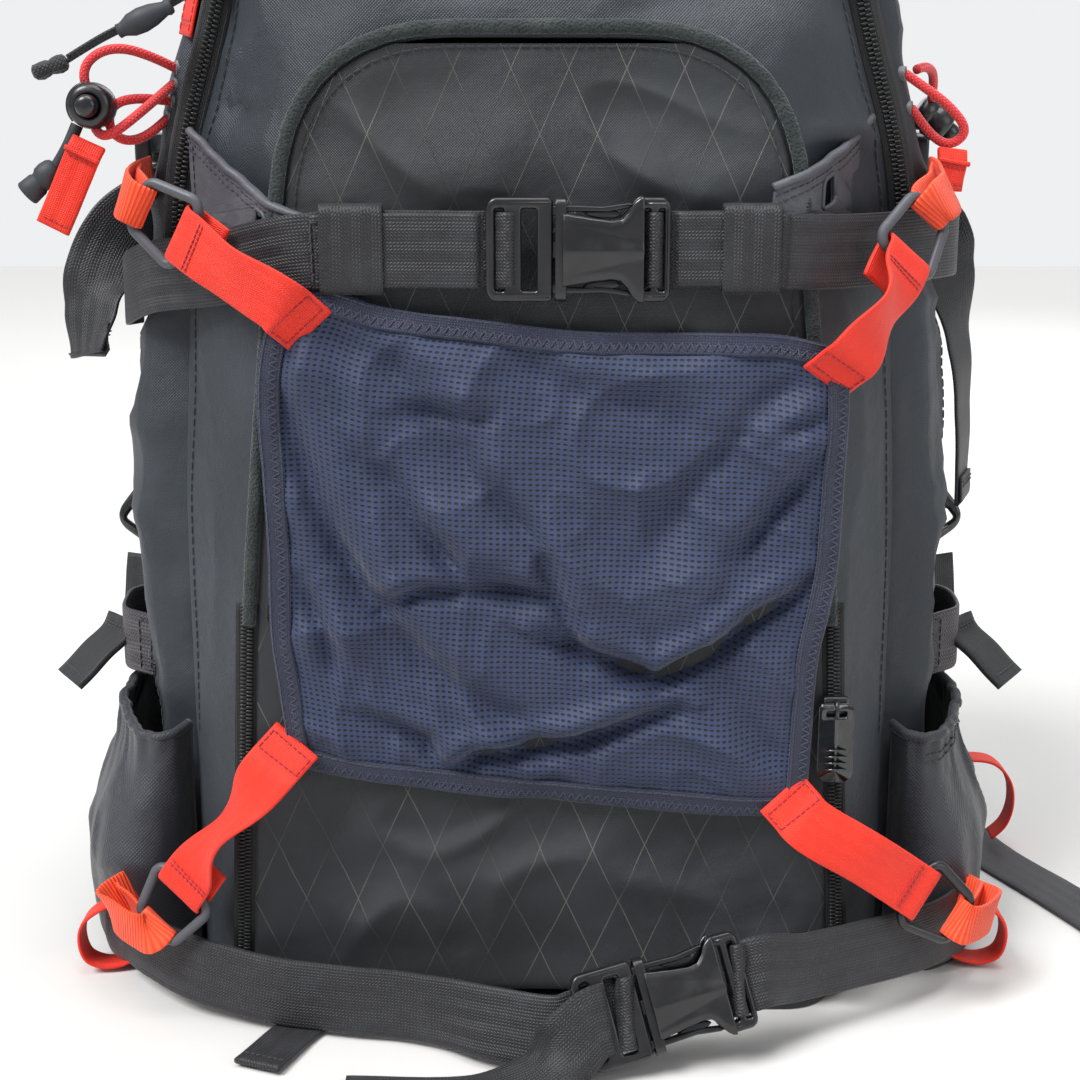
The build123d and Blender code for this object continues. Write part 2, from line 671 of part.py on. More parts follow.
def haul_loop():
    """Flat webbing handle with mitred corners, its legs rounded where they are hinged."""
    def arch(half, top):
        corner = 9.0
        line = Polyline((half, HAUL_FOOT), (half, top - corner), (half - corner, top),
                        (corner - half, top), (-half, top - corner), (-half, HAUL_FOOT),
                        close=True)
        return make_face(Plane.XZ * line)
    band_width = 16.0
    flat = arch(HAUL_HALF, HAUL_TOP) - arch(HAUL_HALF - band_width, HAUL_TOP - band_width)
    loop = Pos(0, HAUL_PLANE, 0) * extrude(flat, amount=HAUL_THICK / 2, both=True)
    for side in (-1, 1):
        middle = side * (HAUL_HALF - band_width / 2)
        foot = Pos(middle, HAUL_PLANE, HAUL_FOOT) * Rot(0, 90, 0)
        loop += foot * Cylinder(HAUL_THICK / 2, band_width)
    return loop


# ------------------------------------------------------------------- output

os.makedirs("parts", exist_ok=True)
corners = list(MESH_CORNERS)
left_low = route(2, LEFT_LOW_CORD, 3)
zip_chain_set = zip_chains()

save("main_shell", main_shell())
save("base_panel", base_panel())
save("front_panel", front_panel())
save("pocket_cover", pocket_cover())
save("pocket_piping", pocket_piping())
save("zip_chains", *zip_chain_set)
save("frame_sheet", frame_pieces()[0])
save("frame_stay", frame_pieces()[1])
save("tool_divider", tool_divider())
save("back_panel", back_panel())
save("side_pocket_right", side_pocket())
save("side_pocket_left", mirrored(side_pocket()))
save("side_wings", wing(), mirrored(wing()))

save("upper_strap_left", upper_strap(-1))
save("upper_strap_right", upper_strap(1))
save("strap_keepers", *strap_keepers())
save("upper_buckle_socket", UPPER_PLACE * buckle_socket())
save("upper_buckle_plug", UPPER_PLACE * buckle_plug())
save("lower_strap_left", lower_strap(-1))
save("lower_strap_right", lower_strap(1))
save("lower_buckle_socket", lower_place(buckle_socket()))
save("lower_buckle_plug", lower_place(buckle_plug()))
save("lower_strap_tail", lower_strap_tail())

save("helmet_mesh", helmet_mesh())
save("mesh_tabs", *[mesh_tab(corner) for corner in corners])
save("anchor_loops", *[anchor_loop(corner) for corner in corners])
for corner in corners:
    save(f"ring_{corner}", ring(corner))

save("side_buckles", side_buckle(-1), side_buckle(1))
save("strap_tails", side_tail(-1), side_tail(1), base_tab())
save("zip_strip", zip_strip())
save("ski_loops", *ski_loop(-1), *ski_loop(1))
save("tool_loops", *tool_loops())

save("cord_eyelets", *eyelets())
save("shock_cord_left", cord("shock_cord_left", route(0, LEFT_CORD, 1), SHOCK),
     cord("shock_cord_left low", left_low, SHOCK))
save("shock_cord_right", cord("shock_cord_right", route(4, RIGHT_CORD, 5), SHOCK),
     cord("shock_cord_right rear", RIGHT_REAR_CORD, SHOCK))
save("cord_locks", cord_lock("left"), cord_lock("right"))
save("cord_button_left", cord_button("left"))
save("cord_button_right", cord_button("right"))
save("cord_tabs", *cord_tabs())
save("cord_bell", cord_bell())
save("main_zip_slider", main_zip_slider())
save("zip_cord", cord("zip_cord in", ZIP_CORD_IN, LACE), cord("zip_cord out", ZIP_CORD_OUT, LACE))
save("zip_grip", *zip_grip())
save("pocket_zip_slider", pocket_zip_slider())
save("pocket_zip_pull", pocket_zip_pull())

save("shoulder_straps", shoulder_strap(), mirrored(shoulder_strap()))
save("ladder_lock_right", ladder_lock())
save("ladder_lock_left", mirrored(ladder_lock()))
save("shoulder_webbing", shoulder_webbing(), mirrored(shoulder_webbing()))
save("sternum_webbing_right", sternum_webbing())
save("sternum_webbing_left", mirrored(sternum_webbing()))
save("sternum_socket", sternum_part(buckle_socket()))
save("sternum_plug", sternum_part(buckle_plug()))
save("hip_wings", hip_wing(), mirrored(hip_wing()))
save("hip_webbing", *hip_webbing())
save("hip_buckle_halves", *hip_buckle_halves())
save("haul_loop", haul_loop())
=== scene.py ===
import math

import bmesh
import bpy
from mathutils import Matrix, Vector, noise


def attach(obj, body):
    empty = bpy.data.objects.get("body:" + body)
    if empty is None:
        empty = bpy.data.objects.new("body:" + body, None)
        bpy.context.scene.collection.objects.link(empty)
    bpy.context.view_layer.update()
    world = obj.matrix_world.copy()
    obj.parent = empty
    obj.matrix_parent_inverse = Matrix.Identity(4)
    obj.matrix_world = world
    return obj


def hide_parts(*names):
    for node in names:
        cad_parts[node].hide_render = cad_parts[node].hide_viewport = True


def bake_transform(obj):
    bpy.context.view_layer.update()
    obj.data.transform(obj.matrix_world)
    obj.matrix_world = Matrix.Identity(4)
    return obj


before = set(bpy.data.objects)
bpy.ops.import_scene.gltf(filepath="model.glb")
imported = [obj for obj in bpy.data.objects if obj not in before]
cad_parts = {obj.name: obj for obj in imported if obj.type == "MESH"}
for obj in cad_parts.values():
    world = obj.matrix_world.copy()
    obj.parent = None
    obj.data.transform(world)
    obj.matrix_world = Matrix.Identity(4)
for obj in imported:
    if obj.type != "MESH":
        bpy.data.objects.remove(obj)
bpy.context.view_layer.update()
MM = 0.001
UP = Vector((0, 0, 1))


# ------------------------------------------------------------ camera

def build_camera():
    bpy.context.scene.view_settings.view_transform = "Standard"
    data = bpy.data.cameras.new("camera")
    data.lens = 60
    data.sensor_width = 36
    camera = bpy.data.objects.new("camera", data)
    camera.location = (0, -0.701, 0.330)
    camera.rotation_euler = (math.radians(90 - 13.74), 0, 0)
    bpy.context.scene.collection.objects.link(camera)
    bpy.context.scene.camera = camera


# ------------------------------------------------------------------- materials

class Nodes:
    """Short names for the shader nodes that the materials share."""

    def __init__(self, name, color, rough=0.8, metal=0.0, sheen=0.0, coat=0.0, specular=0.5):
        self.material = bpy.data.materials.new(name)
        self.material.use_nodes = True
        self.tree = self.material.node_tree
        self.bsdf = self.tree.nodes["Principled BSDF"]
        self.set("Base Color", (*color, 1))
        self.set("Roughness", rough)
        self.set("Metallic", metal)
        self.set("Specular IOR Level", specular)
        self.set("Coat Weight", coat)
        if coat:
            self.set("Coat Roughness", 0.12)
        if sheen:
            self.set("Sheen Weight", sheen)
            self.set("Sheen Roughness", 0.45)
        self.height = None

    def set(self, socket, value):
        self.bsdf.inputs[socket].default_value = value

    def node(self, kind, **settings):
        made = self.tree.nodes.new("ShaderNode" + kind)
        for key, value in settings.items():
            setattr(made, key, value)
        return made

    def put(self, socket, value):
        if isinstance(value, bpy.types.NodeSocket):
            self.tree.links.new(value, socket)
        else:
            socket.default_value = value

    def math(self, operation, a, b=0.0, c=0.0):
        made = self.node("Math", operation=operation)
        for socket, value in zip(made.inputs, (a, b, c)):
            self.put(socket, value)
        return made.outputs[0]

    def position(self):
        return self.node("TexCoord").outputs["Object"]

    def run(self):
        """Along and across a strip or a panel, in metres."""
        return self.node("Attribute", attribute_name="run").outputs["Vector"]

    def split(self, vector):
        made = self.node("SeparateXYZ")
        self.put(made.inputs[0], vector)
        return made.outputs

    def join(self, x, y, z=0.0):
        made = self.node("CombineXYZ")
        for socket, value in zip(made.inputs, (x, y, z)):
            self.put(socket, value)
        return made.outputs[0]

    def cloth_axes(self):
        """Two coordinates in the surface of any cloth: the ones it doesn't face along."""
        x, y, z = self.split(self.position())
        nx, ny, nz = self.split(self.node("NewGeometry").outputs["Normal"])
        sideways = self.math("GREATER_THAN", self.math("ABSOLUTE", nx), self.math("ABSOLUTE", ny))
        u = self.math("ADD", self.math("MULTIPLY", y, sideways),
                      self.math("MULTIPLY", x, self.math("SUBTRACT", 1.0, sideways)))
        flat = self.math("GREATER_THAN", self.math("ABSOLUTE", nz), 0.8)
        v = self.math("ADD", self.math("MULTIPLY", y, flat),
                      self.math("MULTIPLY", z, self.math("SUBTRACT", 1.0, flat)))
        return u, v

    def noise(self, vector, scale, detail=3.0, rough=0.5):
        made = self.node("TexNoise")
        self.put(made.inputs["Vector"], vector)
        made.inputs["Scale"].default_value = scale
        made.inputs["Detail"].default_value = detail
        made.inputs["Roughness"].default_value = rough
        return made.outputs["Fac"]

    def ramp(self, value, low, high, start=0.0, end=1.0):
        made = self.node("MapRange", interpolation_type="SMOOTHSTEP")
        for socket, number in zip(made.inputs, (value, low, high, start, end)):
            self.put(socket, number)
        return made.outputs[0]

    def wave(self, value, period):
        """From 0 to 1 and back over each period."""
        turned = self.math("MULTIPLY", value, 2 * math.pi / period)
        return self.math("MULTIPLY_ADD", self.math("SINE", turned), 0.5, 0.5)

    def tint(self, fac, color):
        """Mixes color over the base colour so far, by fac."""
        made = self.node("Mix", data_type="RGBA")
        old = self.bsdf.inputs["Base Color"]
        before = old.links[0].from_socket if old.links else tuple(old.default_value)
        self.put(made.inputs[0], fac)
        self.put(made.inputs[6], before)
        self.put(made.inputs[7], (*color, 1))
        self.put(old, made.outputs[2])

    def bump(self, height, depth):
        """Adds a height, in metres, to the surface's relief."""
        scaled = self.math("MULTIPLY", height, depth)
        self.height = scaled if self.height is None else self.math("ADD", self.height, scaled)

    def finish(self):
        if self.height is not None:
            made = self.node("Bump")
            made.inputs["Strength"].default_value = 1.0
            made.inputs["Distance"].default_value = 1.0
            self.put(made.inputs["Height"], self.height)
            self.put(self.bsdf.inputs["Normal"], made.outputs[0])
        return self.material


def srgb(r, g, b):
    """A colour from its 8-bit values."""
    def linear(c):
        c /= 255
        return c / 12.92 if c <= 0.04045 else ((c + 0.055) / 1.055) ** 2.4
    return linear(r), linear(g), linear(b)


def weave(n, u, v, pitch, depth):
    """Plain weave relief on two cloth coordinates."""
    over = n.math("MULTIPLY", n.wave(u, pitch), n.wave(v, pitch))
    under = n.math("MULTIPLY", n.wave(n.math("ADD", u, pitch / 2), pitch),
                   n.wave(n.math("ADD", v, pitch / 2), pitch))
    threads = n.math("MAXIMUM", over, under)
    n.bump(threads, depth)
    return threads


def cordura(name, color, light, pitch=0.0011, sheen=0.06, dust=0.25):
    n = Nodes(name, color, rough=0.54, sheen=sheen, specular=0.55)
    u, v = n.cloth_axes()
    threads = weave(n, u, v, pitch, 0.00016)
    n.tint(n.math("MULTIPLY", threads, 0.35), light)
    p = n.position()
    # large soft patches towards the lighter colour: partly wear, partly painted sheen highlight
    wear_and_sheen_patches = n.ramp(n.noise(p, 16, 4), 0.42, 0.72)
    n.tint(n.math("MULTIPLY", wear_and_sheen_patches, 0.22), light)
    fleck = n.ramp(n.noise(p, 900, 2), 0.55, 0.75)
    n.tint(n.math("MULTIPLY", fleck, dust * 0.5), light)
    scuff = n.ramp(n.noise(p, 70, 5, 0.7), 0.66, 0.8)
    n.tint(n.math("MULTIPLY", scuff, dust), tuple(c * 1.5 for c in light))
    n.bump(n.noise(p, 60, 3), 0.0016)
    n.bump(n.noise(p, 750, 2), 0.00012)
    return n


def grid_cloth(name, color, light, line):
    """Laminate with a raised lattice of crossing threads, worn thin in places."""
    n = cordura(name, color, light, pitch=0.0009)
    x, _, z = n.split(n.position())
    a = n.math("MULTIPLY", x, 1 / 0.019)
    b = n.math("MULTIPLY", n.math("SUBTRACT", z, 0.004), 1 / 0.042)
    lines = None
    for one in (n.math("ADD", a, b), n.math("SUBTRACT", a, b)):
        off = n.math("ABSOLUTE", n.math("SUBTRACT", n.math("FRACT", n.math("ADD", one, 40.0)), 0.5))
        here = n.ramp(off, 0.004, 0.015, 1.0, 0.0)
        lines = here if lines is None else n.math("MAXIMUM", lines, here)
    worn = n.ramp(n.noise(n.position(), 26, 3), 0.36, 0.62, 0.12, 1.0)
    n.tint(n.math("MULTIPLY", lines, n.math("MULTIPLY", worn, 0.6)), line)
    n.bump(lines, 0.0002)
    return n


def webbing_cloth(name, color, light, ribs=0.0022, sheen=0.08, rough=0.5, depth=0.00022):
    """Woven strap: fine chevrons across it and thicker edges."""
    n = Nodes(name, color, rough=rough, sheen=sheen, specular=0.45)
    along, across, _ = n.split(n.run())
    herring = n.math("PINGPONG", across, ribs * 1.5)
    slanted = n.math("ADD", along, herring)
    rib = n.wave(slanted, ribs * 0.55)
    cross = n.wave(across, ribs * 0.5)
    n.bump(n.math("MULTIPLY", rib, cross), depth)
    n.tint(n.math("MULTIPLY", rib, 0.3), light)
    p = n.position()
    n.tint(n.ramp(n.noise(p, 55, 4), 0.5, 0.75, 0.0, 0.28), light)
    n.tint(n.ramp(n.noise(p, 800, 2), 0.55, 0.72, 0.0, 0.3), light)
    n.bump(n.noise(p, 110, 2), 0.0005)
    return n


def ribbed_cloth(name, color, light):
    """Woven tape with bold ribs straight across it."""
    n = Nodes(name, color, rough=0.55, sheen=0.1, specular=0.45)
    rib = n.wave(n.split(n.run())[0], 0.0013)
    n.bump(rib, 0.0004)
    n.tint(n.math("MULTIPLY", rib, 0.55), light)
    n.tint(n.ramp(n.noise(n.position(), 60, 4), 0.45, 0.75, 0.0, 0.3), tuple(c * 0.6 for c in color))
    return n


def plastic(name, color, rough=0.28, coat=0.3, grain=0.00004):
    n = Nodes(name, color, rough=rough, coat=coat, specular=0.5)
    p = n.position()
    n.bump(n.noise(p, 900, 3), grain)
    scratch = n.noise(n.join(*[n.math("MULTIPLY", c, s) for c, s in zip(n.split(p), (1, 1, 7))]),
                      220, 5, 0.7)
    n.tint(n.ramp(scratch, 0.62, 0.78, 0.0, 0.25), tuple(min(1, c * 4 + 0.06) for c in color))
    n.put(n.bsdf.inputs["Roughness"], n.ramp(n.noise(p, 120, 4), 0.35, 0.75, rough, rough + 0.22))
    return n


def rope_sheath(name, color, light):
    """Braided cover of an elastic cord."""
    n = Nodes(name, color, rough=0.6, sheen=0.3, specular=0.4)
    along, around, _ = n.split(n.run())
    braid = n.math("MULTIPLY", n.wave(n.math("ADD", along, around), 0.0016),
                   n.wave(n.math("SUBTRACT", along, around), 0.0016))
    n.bump(braid, 0.0003)
    n.tint(n.ramp(braid, 0.2, 0.8, 0.0, 0.6), light)
    n.tint(n.ramp(n.noise(n.position(), 700, 2), 0.5, 0.8, 0.0, 0.3), light)
    return n


M = {}


def build_materials():
    M["body"] = cordura("body_cordura", srgb(20, 25, 31), srgb(56, 68, 80)).finish()
    M["base"] = cordura("base_fabric", srgb(15, 17, 20), srgb(36, 40, 46)).finish()
    M["grid"] = grid_cloth("grid_fabric", srgb(19, 22, 26), srgb(50, 57, 65), srgb(128, 126, 116)).finish()
    M["pocket"] = cordura("pocket_fabric", srgb(24, 26, 33), srgb(56, 59, 70), pitch=0.0014,
                          sheen=0.2).finish()
    M["piping"] = piping_cloth()
    M["zip"] = plastic("zip_teeth", srgb(18, 19, 20), rough=0.4, coat=0.1).finish()
    M["tape"] = webbing_cloth("zip_tape", srgb(14, 15, 17), srgb(40, 42, 46), ribs=0.0012, sheen=0.1).finish()
    M["patch"] = patch_rubber()
    M["webbing"] = webbing_cloth("black_webbing", srgb(17, 17, 20), srgb(60, 61, 68)).finish()
    M["loop"] = webbing_cloth("loop_webbing", srgb(52, 49, 54), srgb(92, 88, 96), ribs=0.003,
                              depth=0.0005).finish()
    M["red"] = webbing_cloth("red_webbing", srgb(226, 36, 12), srgb(244, 64, 34), ribs=0.0016,
                             rough=0.55, depth=0.0002).finish()
    M["orange"] = ribbed_cloth("orange_webbing", srgb(232, 56, 14), srgb(250, 104, 54)).finish()
    M["black"] = plastic("black_plastic", srgb(20, 20, 23)).finish()
    M["grey"] = plastic("grey_plastic", srgb(74, 75, 81), rough=0.45, coat=0.0).finish()
    M["rubber"] = plastic("rubber_grey", srgb(44, 47, 52), rough=0.6, coat=0.0).finish()
    M["gloss"] = plastic("pull_rubber", srgb(22, 23, 25), rough=0.12, coat=0.8).finish()
    M["cord"] = rope_sheath("red_cord", srgb(214, 40, 44), srgb(240, 96, 96)).finish()
    M["lace"] = rope_sheath("black_lace", srgb(16, 16, 18), srgb(52, 52, 58)).finish()
    M["mesh"] = mesh_cloth()
    M["hem"] = webbing_cloth("navy_hem", srgb(19, 24, 42), srgb(56, 66, 96), ribs=0.0018, sheen=0.2).finish()
    M["foam"] = cordura("foam_pad", srgb(15, 16, 18), srgb(34, 36, 40), pitch=0.0016, sheen=0.3).finish()
    M["airmesh"] = air_mesh()
    M["thread"] = Nodes("thread_black", srgb(34, 36, 40), rough=0.7, sheen=0.3).finish()
    M["thread_navy"] = Nodes("thread_navy", srgb(42, 45, 68), rough=0.7, sheen=0.3).finish()
    M["thread_red"] = Nodes("thread_red", srgb(166, 18, 24), rough=0.7, sheen=0.3).finish()
    M["grommet"] = plastic("grommet_steel", srgb(120, 122, 126), rough=0.35, coat=0.0).finish()
    M["steel"] = stay_metal()
    M["sheet"] = plastic("frame_sheet_black", srgb(24, 24, 25), rough=0.6, coat=0.0, grain=0.0002).finish()
    M["lining"] = cordura("lining_cloth", srgb(52, 54, 57), srgb(80, 82, 86), pitch=0.0008).finish()


def piping_cloth():
    """Coarse textured cloth over the pocket zip's cord."""
    n = Nodes("piping_cloth", srgb(30, 35, 36), rough=0.85, sheen=0.2, specular=0.3)
    p = n.position()
    cells = n.node("TexVoronoi")
    n.put(cells.inputs["Vector"], p)
    cells.inputs["Scale"].default_value = 1100
    n.bump(cells.outputs["Distance"], 0.0005)
    n.tint(n.ramp(cells.outputs["Distance"], 0.15, 0.6, 0.0, 0.5), srgb(58, 65, 66))
    n.tint(n.ramp(n.noise(p, 80, 4), 0.5, 0.8, 0.0, 0.3), srgb(84, 88, 86))
    return n.finish()


def patch_rubber():
    """Coated reinforcement cloth, satin and finely dimpled, with lighter patches of painted highlight."""
    n = Nodes("coated_patch", srgb(74, 75, 81), rough=0.5, specular=0.45)
    p = n.position()
    n.bump(n.noise(p, 1100, 2), 0.00022)
    n.bump(n.noise(p, 90, 3), 0.0009)
    # lighter mottled patches towards srgb(112, 113, 119): painted highlight
    n.tint(n.ramp(n.noise(p, 45, 5, 0.65), 0.45, 0.75, 0.0, 0.4), srgb(112, 113, 119))
    return n.finish()


def mesh_cloth():
    """Thin ripstop with rows of pinholes, laid out on the panel's own axes."""
    n = Nodes("navy_mesh", srgb(19, 25, 47), rough=0.66, sheen=0.14, specular=0.42)
    u, v, _ = n.split(n.run())
    pitch_u, pitch_v = 0.0023, 0.0018
    fu = n.math("SUBTRACT", n.math("FRACT", n.math("MULTIPLY", u, 1 / pitch_u)), 0.5)
    fv = n.math("SUBTRACT", n.math("FRACT", n.math("MULTIPLY", v, 1 / pitch_v)), 0.5)
    away = n.math("SQRT", n.math("ADD", n.math("MULTIPLY", n.math("MULTIPLY", fu, fu), 0.5),
                                 n.math("MULTIPLY", fv, fv)))
    hole = n.ramp(away, 0.12, 0.27, 1.0, 0.0)
    n.tint(n.math("SUBTRACT", 0.34, n.math("MULTIPLY", hole, 0.34)), srgb(68, 84, 124))
    n.tint(n.math("MULTIPLY", hole, 0.85), srgb(6, 7, 14))
    n.tint(n.ramp(n.noise(n.position(), 30, 4), 0.4, 0.7, 0.0, 0.25), srgb(34, 42, 70))
    n.tint(n.ramp(n.noise(n.position(), 1100, 2), 0.5, 0.75, 0.0, 0.25), srgb(64, 67, 92))
    n.tint(n.math("MULTIPLY", hole, 0.9), srgb(5, 5, 9))
    n.bump(hole, -0.0003)
    n.bump(n.noise(n.position(), 140, 3), 0.0009)
    return n.finish()


def air_mesh():
    """Open spacer mesh on the pads that touch the wearer."""
    n = Nodes("air_mesh", srgb(22, 23, 26), rough=0.8, sheen=0.4, specular=0.3)
    p = n.position()
    cells = n.node("TexVoronoi", feature="DISTANCE_TO_EDGE")
    n.put(cells.inputs["Vector"], p)
    cells.inputs["Scale"].default_value = 520
    web = n.ramp(cells.outputs["Distance"], 0.05, 0.3, 1.0, 0.0)
    n.bump(web, 0.0003)
    n.tint(n.math("MULTIPLY", web, 0.55), srgb(54, 57, 61))
    n.tint(n.ramp(n.noise(p, 40, 4), 0.5, 0.8, 0.0, 0.25), srgb(84, 86, 88))
    return n.finish()


def stay_metal():
    n = Nodes("aluminium_stay", srgb(196, 198, 202), rough=0.35, metal=1.0)
    x, y, z = n.split(n.position())
    brushed = n.noise(n.join(n.math("MULTIPLY", x, 40.0), y, z), 60, 4)
    n.put(n.bsdf.inputs["Roughness"], n.ramp(brushed, 0.3, 0.7, 0.25, 0.45))
    n.bump(brushed, 0.00005)
    return n.finish()


# ------------------------------------------------------------------ mesh tools

def add_object(name, mesh, material=None):
    obj = bpy.data.objects.new(name, mesh)
    bpy.context.scene.collection.objects.link(obj)
    if material:
        mesh.materials.append(M[material])
    mesh.polygons.foreach_set("use_smooth", [True] * len(mesh.polygons))
    return obj


def mesh_object(name, verts, faces, material, run=None):
    """A smooth mesh in metres from points in millimetres."""
    mesh = bpy.data.meshes.new(name)
    mesh.from_pydata([Vector(v) * MM for v in verts], [], faces)
    if run:
        layer = mesh.attributes.new("run", "FLOAT_VECTOR", "POINT")
        layer.data.foreach_set("vector", [c * MM for r in run for c in r])
    return add_object(name, mesh, material)


def modify(obj, kind, **settings):
    made = obj.modifiers.new(kind.lower(), kind)
    for key, value in settings.items():
        setattr(made, key, value)
    return made


def apply_all(obj):
    """Keeps the shape that the modifiers give, and drops them."""
    graph = bpy.context.evaluated_depsgraph_get()
    graph.update()
    mesh = bpy.data.meshes.new_from_object(obj.evaluated_get(graph))
    mesh.name = obj.name
    obj.modifiers.clear()
    obj.data = mesh
    return obj


def outward(obj):
    """Turns every face of a closed mesh outwards."""
    made = bmesh.new()
    made.from_mesh(obj.data)
    bmesh.ops.recalc_face_normals(made, faces=made.faces)
    made.to_mesh(obj.data)
    made.free()
    return obj


def settle(obj, body, slot, *nodes):
    """The piece rides on a body and stands for CAD nodes; the finish it is given is not used."""
    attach(obj, body)
    if nodes:
        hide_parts(*nodes)
    return obj


def merge(name, objects):
    """Joins meshes into the first one."""
    keep = objects[0]
    with bpy.context.temp_override(active_object=keep, object=keep, selected_objects=objects,
                                   selected_editable_objects=objects):
        bpy.ops.object.join()
    keep.name = name
    keep.data.name = name
    return keep


def lerp(a, b, t):
    return a + (b - a) * t


def smooth(t):
    t = min(1.0, max(0.0, t))
    return t * t * (3 - 2 * t)


def spline(points, count):
    """Evenly spaced points on a smooth curve through the given ones."""
    pts = [Vector(p) for p in points]
    if len(pts) == 2:
        return [pts[0].lerp(pts[1], i / (count - 1)) for i in range(count)]
    ends = [pts[0] * 2 - pts[1]] + pts + [pts[-1] * 2 - pts[-2]]
    fine = []
    for p0, p1, p2, p3 in zip(ends, ends[1:], ends[2:], ends[3:]):
        # centripetal, so that close points don't loop
        t1 = max(1e-4, (p1 - p0).length ** 0.5)
        t2 = t1 + max(1e-4, (p2 - p1).length ** 0.5)
        t3 = t2 + max(1e-4, (p3 - p2).length ** 0.5)
        for i in range(16):
            t = t1 + (t2 - t1) * i / 16
            a1 = p0 * ((t1 - t) / t1) + p1 * (t / t1)
            a2 = p1 * ((t2 - t) / (t2 - t1)) + p2 * ((t - t1) / (t2 - t1))
            a3 = p2 * ((t3 - t) / (t3 - t2)) + p3 * ((t - t2) / (t3 - t2))
            b1 = a1 * ((t2 - t) / t2) + a2 * (t / t2)
            b2 = a2 * ((t3 - t) / (t3 - t1)) + a3 * ((t - t1) / (t3 - t1))
            fine.append(b1 * ((t2 - t) / (t2 - t1)) + b2 * ((t - t1) / (t2 - t1)))
    return evenly(fine + [pts[-1]], count)


def evenly(line, count):
    """count points at equal steps along a polyline."""
    runs = [0.0]
    for a, b in zip(line, line[1:]):
        runs.append(runs[-1] + (b - a).length)
    out, k = [], 0
    for i in range(count):
        s = runs[-1] * i / (count - 1)
        while k < len(line) - 2 and runs[k + 1] < s:
            k += 1
        part = (s - runs[k]) / max(1e-9, runs[k + 1] - runs[k])
        out.append(line[k].lerp(line[k + 1], min(1.0, part)))
    return out


def length_of(line):
    return sum((b - a).length for a, b in zip(line, line[1:]))


def ring_faces(sides, rings, ends=True):
    """Quads between rings of points, and the flat faces that close the two ends."""
    faces = []
    for i in range(rings - 1):
        for j in range(sides):
            k = (j + 1) % sides
            faces.append((i * sides + j, i * sides + k, (i + 1) * sides + k, (i + 1) * sides + j))
    if ends:
        faces += [tuple(reversed(range(sides))), tuple(range((rings - 1) * sides, rings * sides))]
    return faces


def rumple(x, y, z, scale, seed=0.0):
    """Smooth signed noise at a wavelength in millimetres."""
    return noise.noise(Vector((x / scale + seed, y / scale - seed, z / scale + 3.7 * seed)))


def creases(x, y, z, scale, seed=0.0, sharp=1.0):
    """Ridged noise from 0 to 1: thin crests between wide hollows, as in slack cloth."""
    return max(0.0, 1 - abs(rumple(x, y, z, scale, seed)) * 2) ** sharp


class Strip:
    """Webbing along a route: a thin strip with rounded edges, and places on its face."""

    def __init__(self, points, side, width, thick=1.6, step=2.2, ripple=0.25, widths=None, seed=0.0):
        self.width, self.thick = width, thick
        stops = [Vector(p) for p in points]
        sides = [Vector(s) for s in side] if isinstance(side[0], (tuple, Vector)) else \
            [Vector(side)] * len(stops)
        rough = spline(stops, 400)
        self.length = length_of(rough)
        count = max(4, int(self.length / step) + 1)
        self.line = evenly(rough, count)
        marks = []
        for stop in stops:
            marks.append(min(range(count), key=lambda i: (self.line[i] - stop).length))
        marks[0], marks[-1] = 0, count - 1
        for i in range(1, len(marks)):
            marks[i] = max(marks[i], marks[i - 1] + 1)
        self.sides, self.normals, self.wide = [], [], []
        widths = widths or [1.0] * len(stops)
        for i, here in enumerate(self.line):
            k = max(j for j in range(len(marks)) if marks[j] <= i)
            k = min(k, len(marks) - 2)
            t = (i - marks[k]) / max(1, marks[k + 1] - marks[k])
            along = (self.line[min(i + 1, count - 1)] - self.line[max(i - 1, 0)]).normalized()
            across = sides[k].lerp(sides[k + 1], smooth(t))
            across = (across - along * across.dot(along)).normalized()
            self.sides.append(across)
            self.normals.append(across.cross(along).normalized())
            self.wide.append(lerp(widths[k], widths[min(k + 1, len(widths) - 1)], smooth(t)))
        for i, here in enumerate(self.line):
            wave = rumple(i * step, seed * 31.0, 5.0, 16, seed + 0.3) * ripple
            self.line[i] = here + self.normals[i] * wave

    def at(self, s, a=0.0, lift=0.3):
        """A place s along and a across, lifted off the outer face."""
        f = max(0.0, min(1.0, s / self.length)) * (len(self.line) - 1)
        i = min(int(f), len(self.line) - 2)
        t = f - i
        here = self.line[i].lerp(self.line[i + 1], t)
        across = self.sides[i].lerp(self.sides[i + 1], t)
        normal = self.normals[i].lerp(self.normals[i + 1], t)
        return here + across * a + normal * (self.thick / 2 + lift)

    def row(self, s, reach, length, gap, lift=0.15):
        """Ends of stitches straight across the strip."""
        return seam_pairs([self.at(s, a, lift) for a in range(-reach, reach + 1)], length, gap)

    def build(self, name, material):
        rows = (-0.5, -0.47, -0.36, -0.2, 0.0, 0.2, 0.36, 0.47, 0.5)
        high = (0.3, 0.46, 0.5, 0.47, 0.46, 0.47, 0.5, 0.46, 0.3)
        ring = [(a, h) for a, h in zip(rows, high)] + \
            [(a, -h) for a, h in zip(reversed(rows), reversed(high))]
        verts, run = [], []
        for i, here in enumerate(self.line):
            s = self.length * i / (len(self.line) - 1)
            for a, h in ring:
                a *= self.width * self.wide[i]
                verts.append(here + self.sides[i] * a + self.normals[i] * (h * self.thick))
                run.append((s, a, 0))
        n = len(ring)
        faces = ring_faces(n, len(self.line), ends=False)
        last = (len(self.line) - 1) * n
        for j in range(len(rows) - 1):  # flat ends, as quads between the two faces
            a, b, c, d = j, j + 1, n - 2 - j, n - 1 - j
            faces.append((d, c, b, a))
            faces.append((last + a, last + b, last + c, last + d))
        return outward(mesh_object(name, verts, faces, material, run))


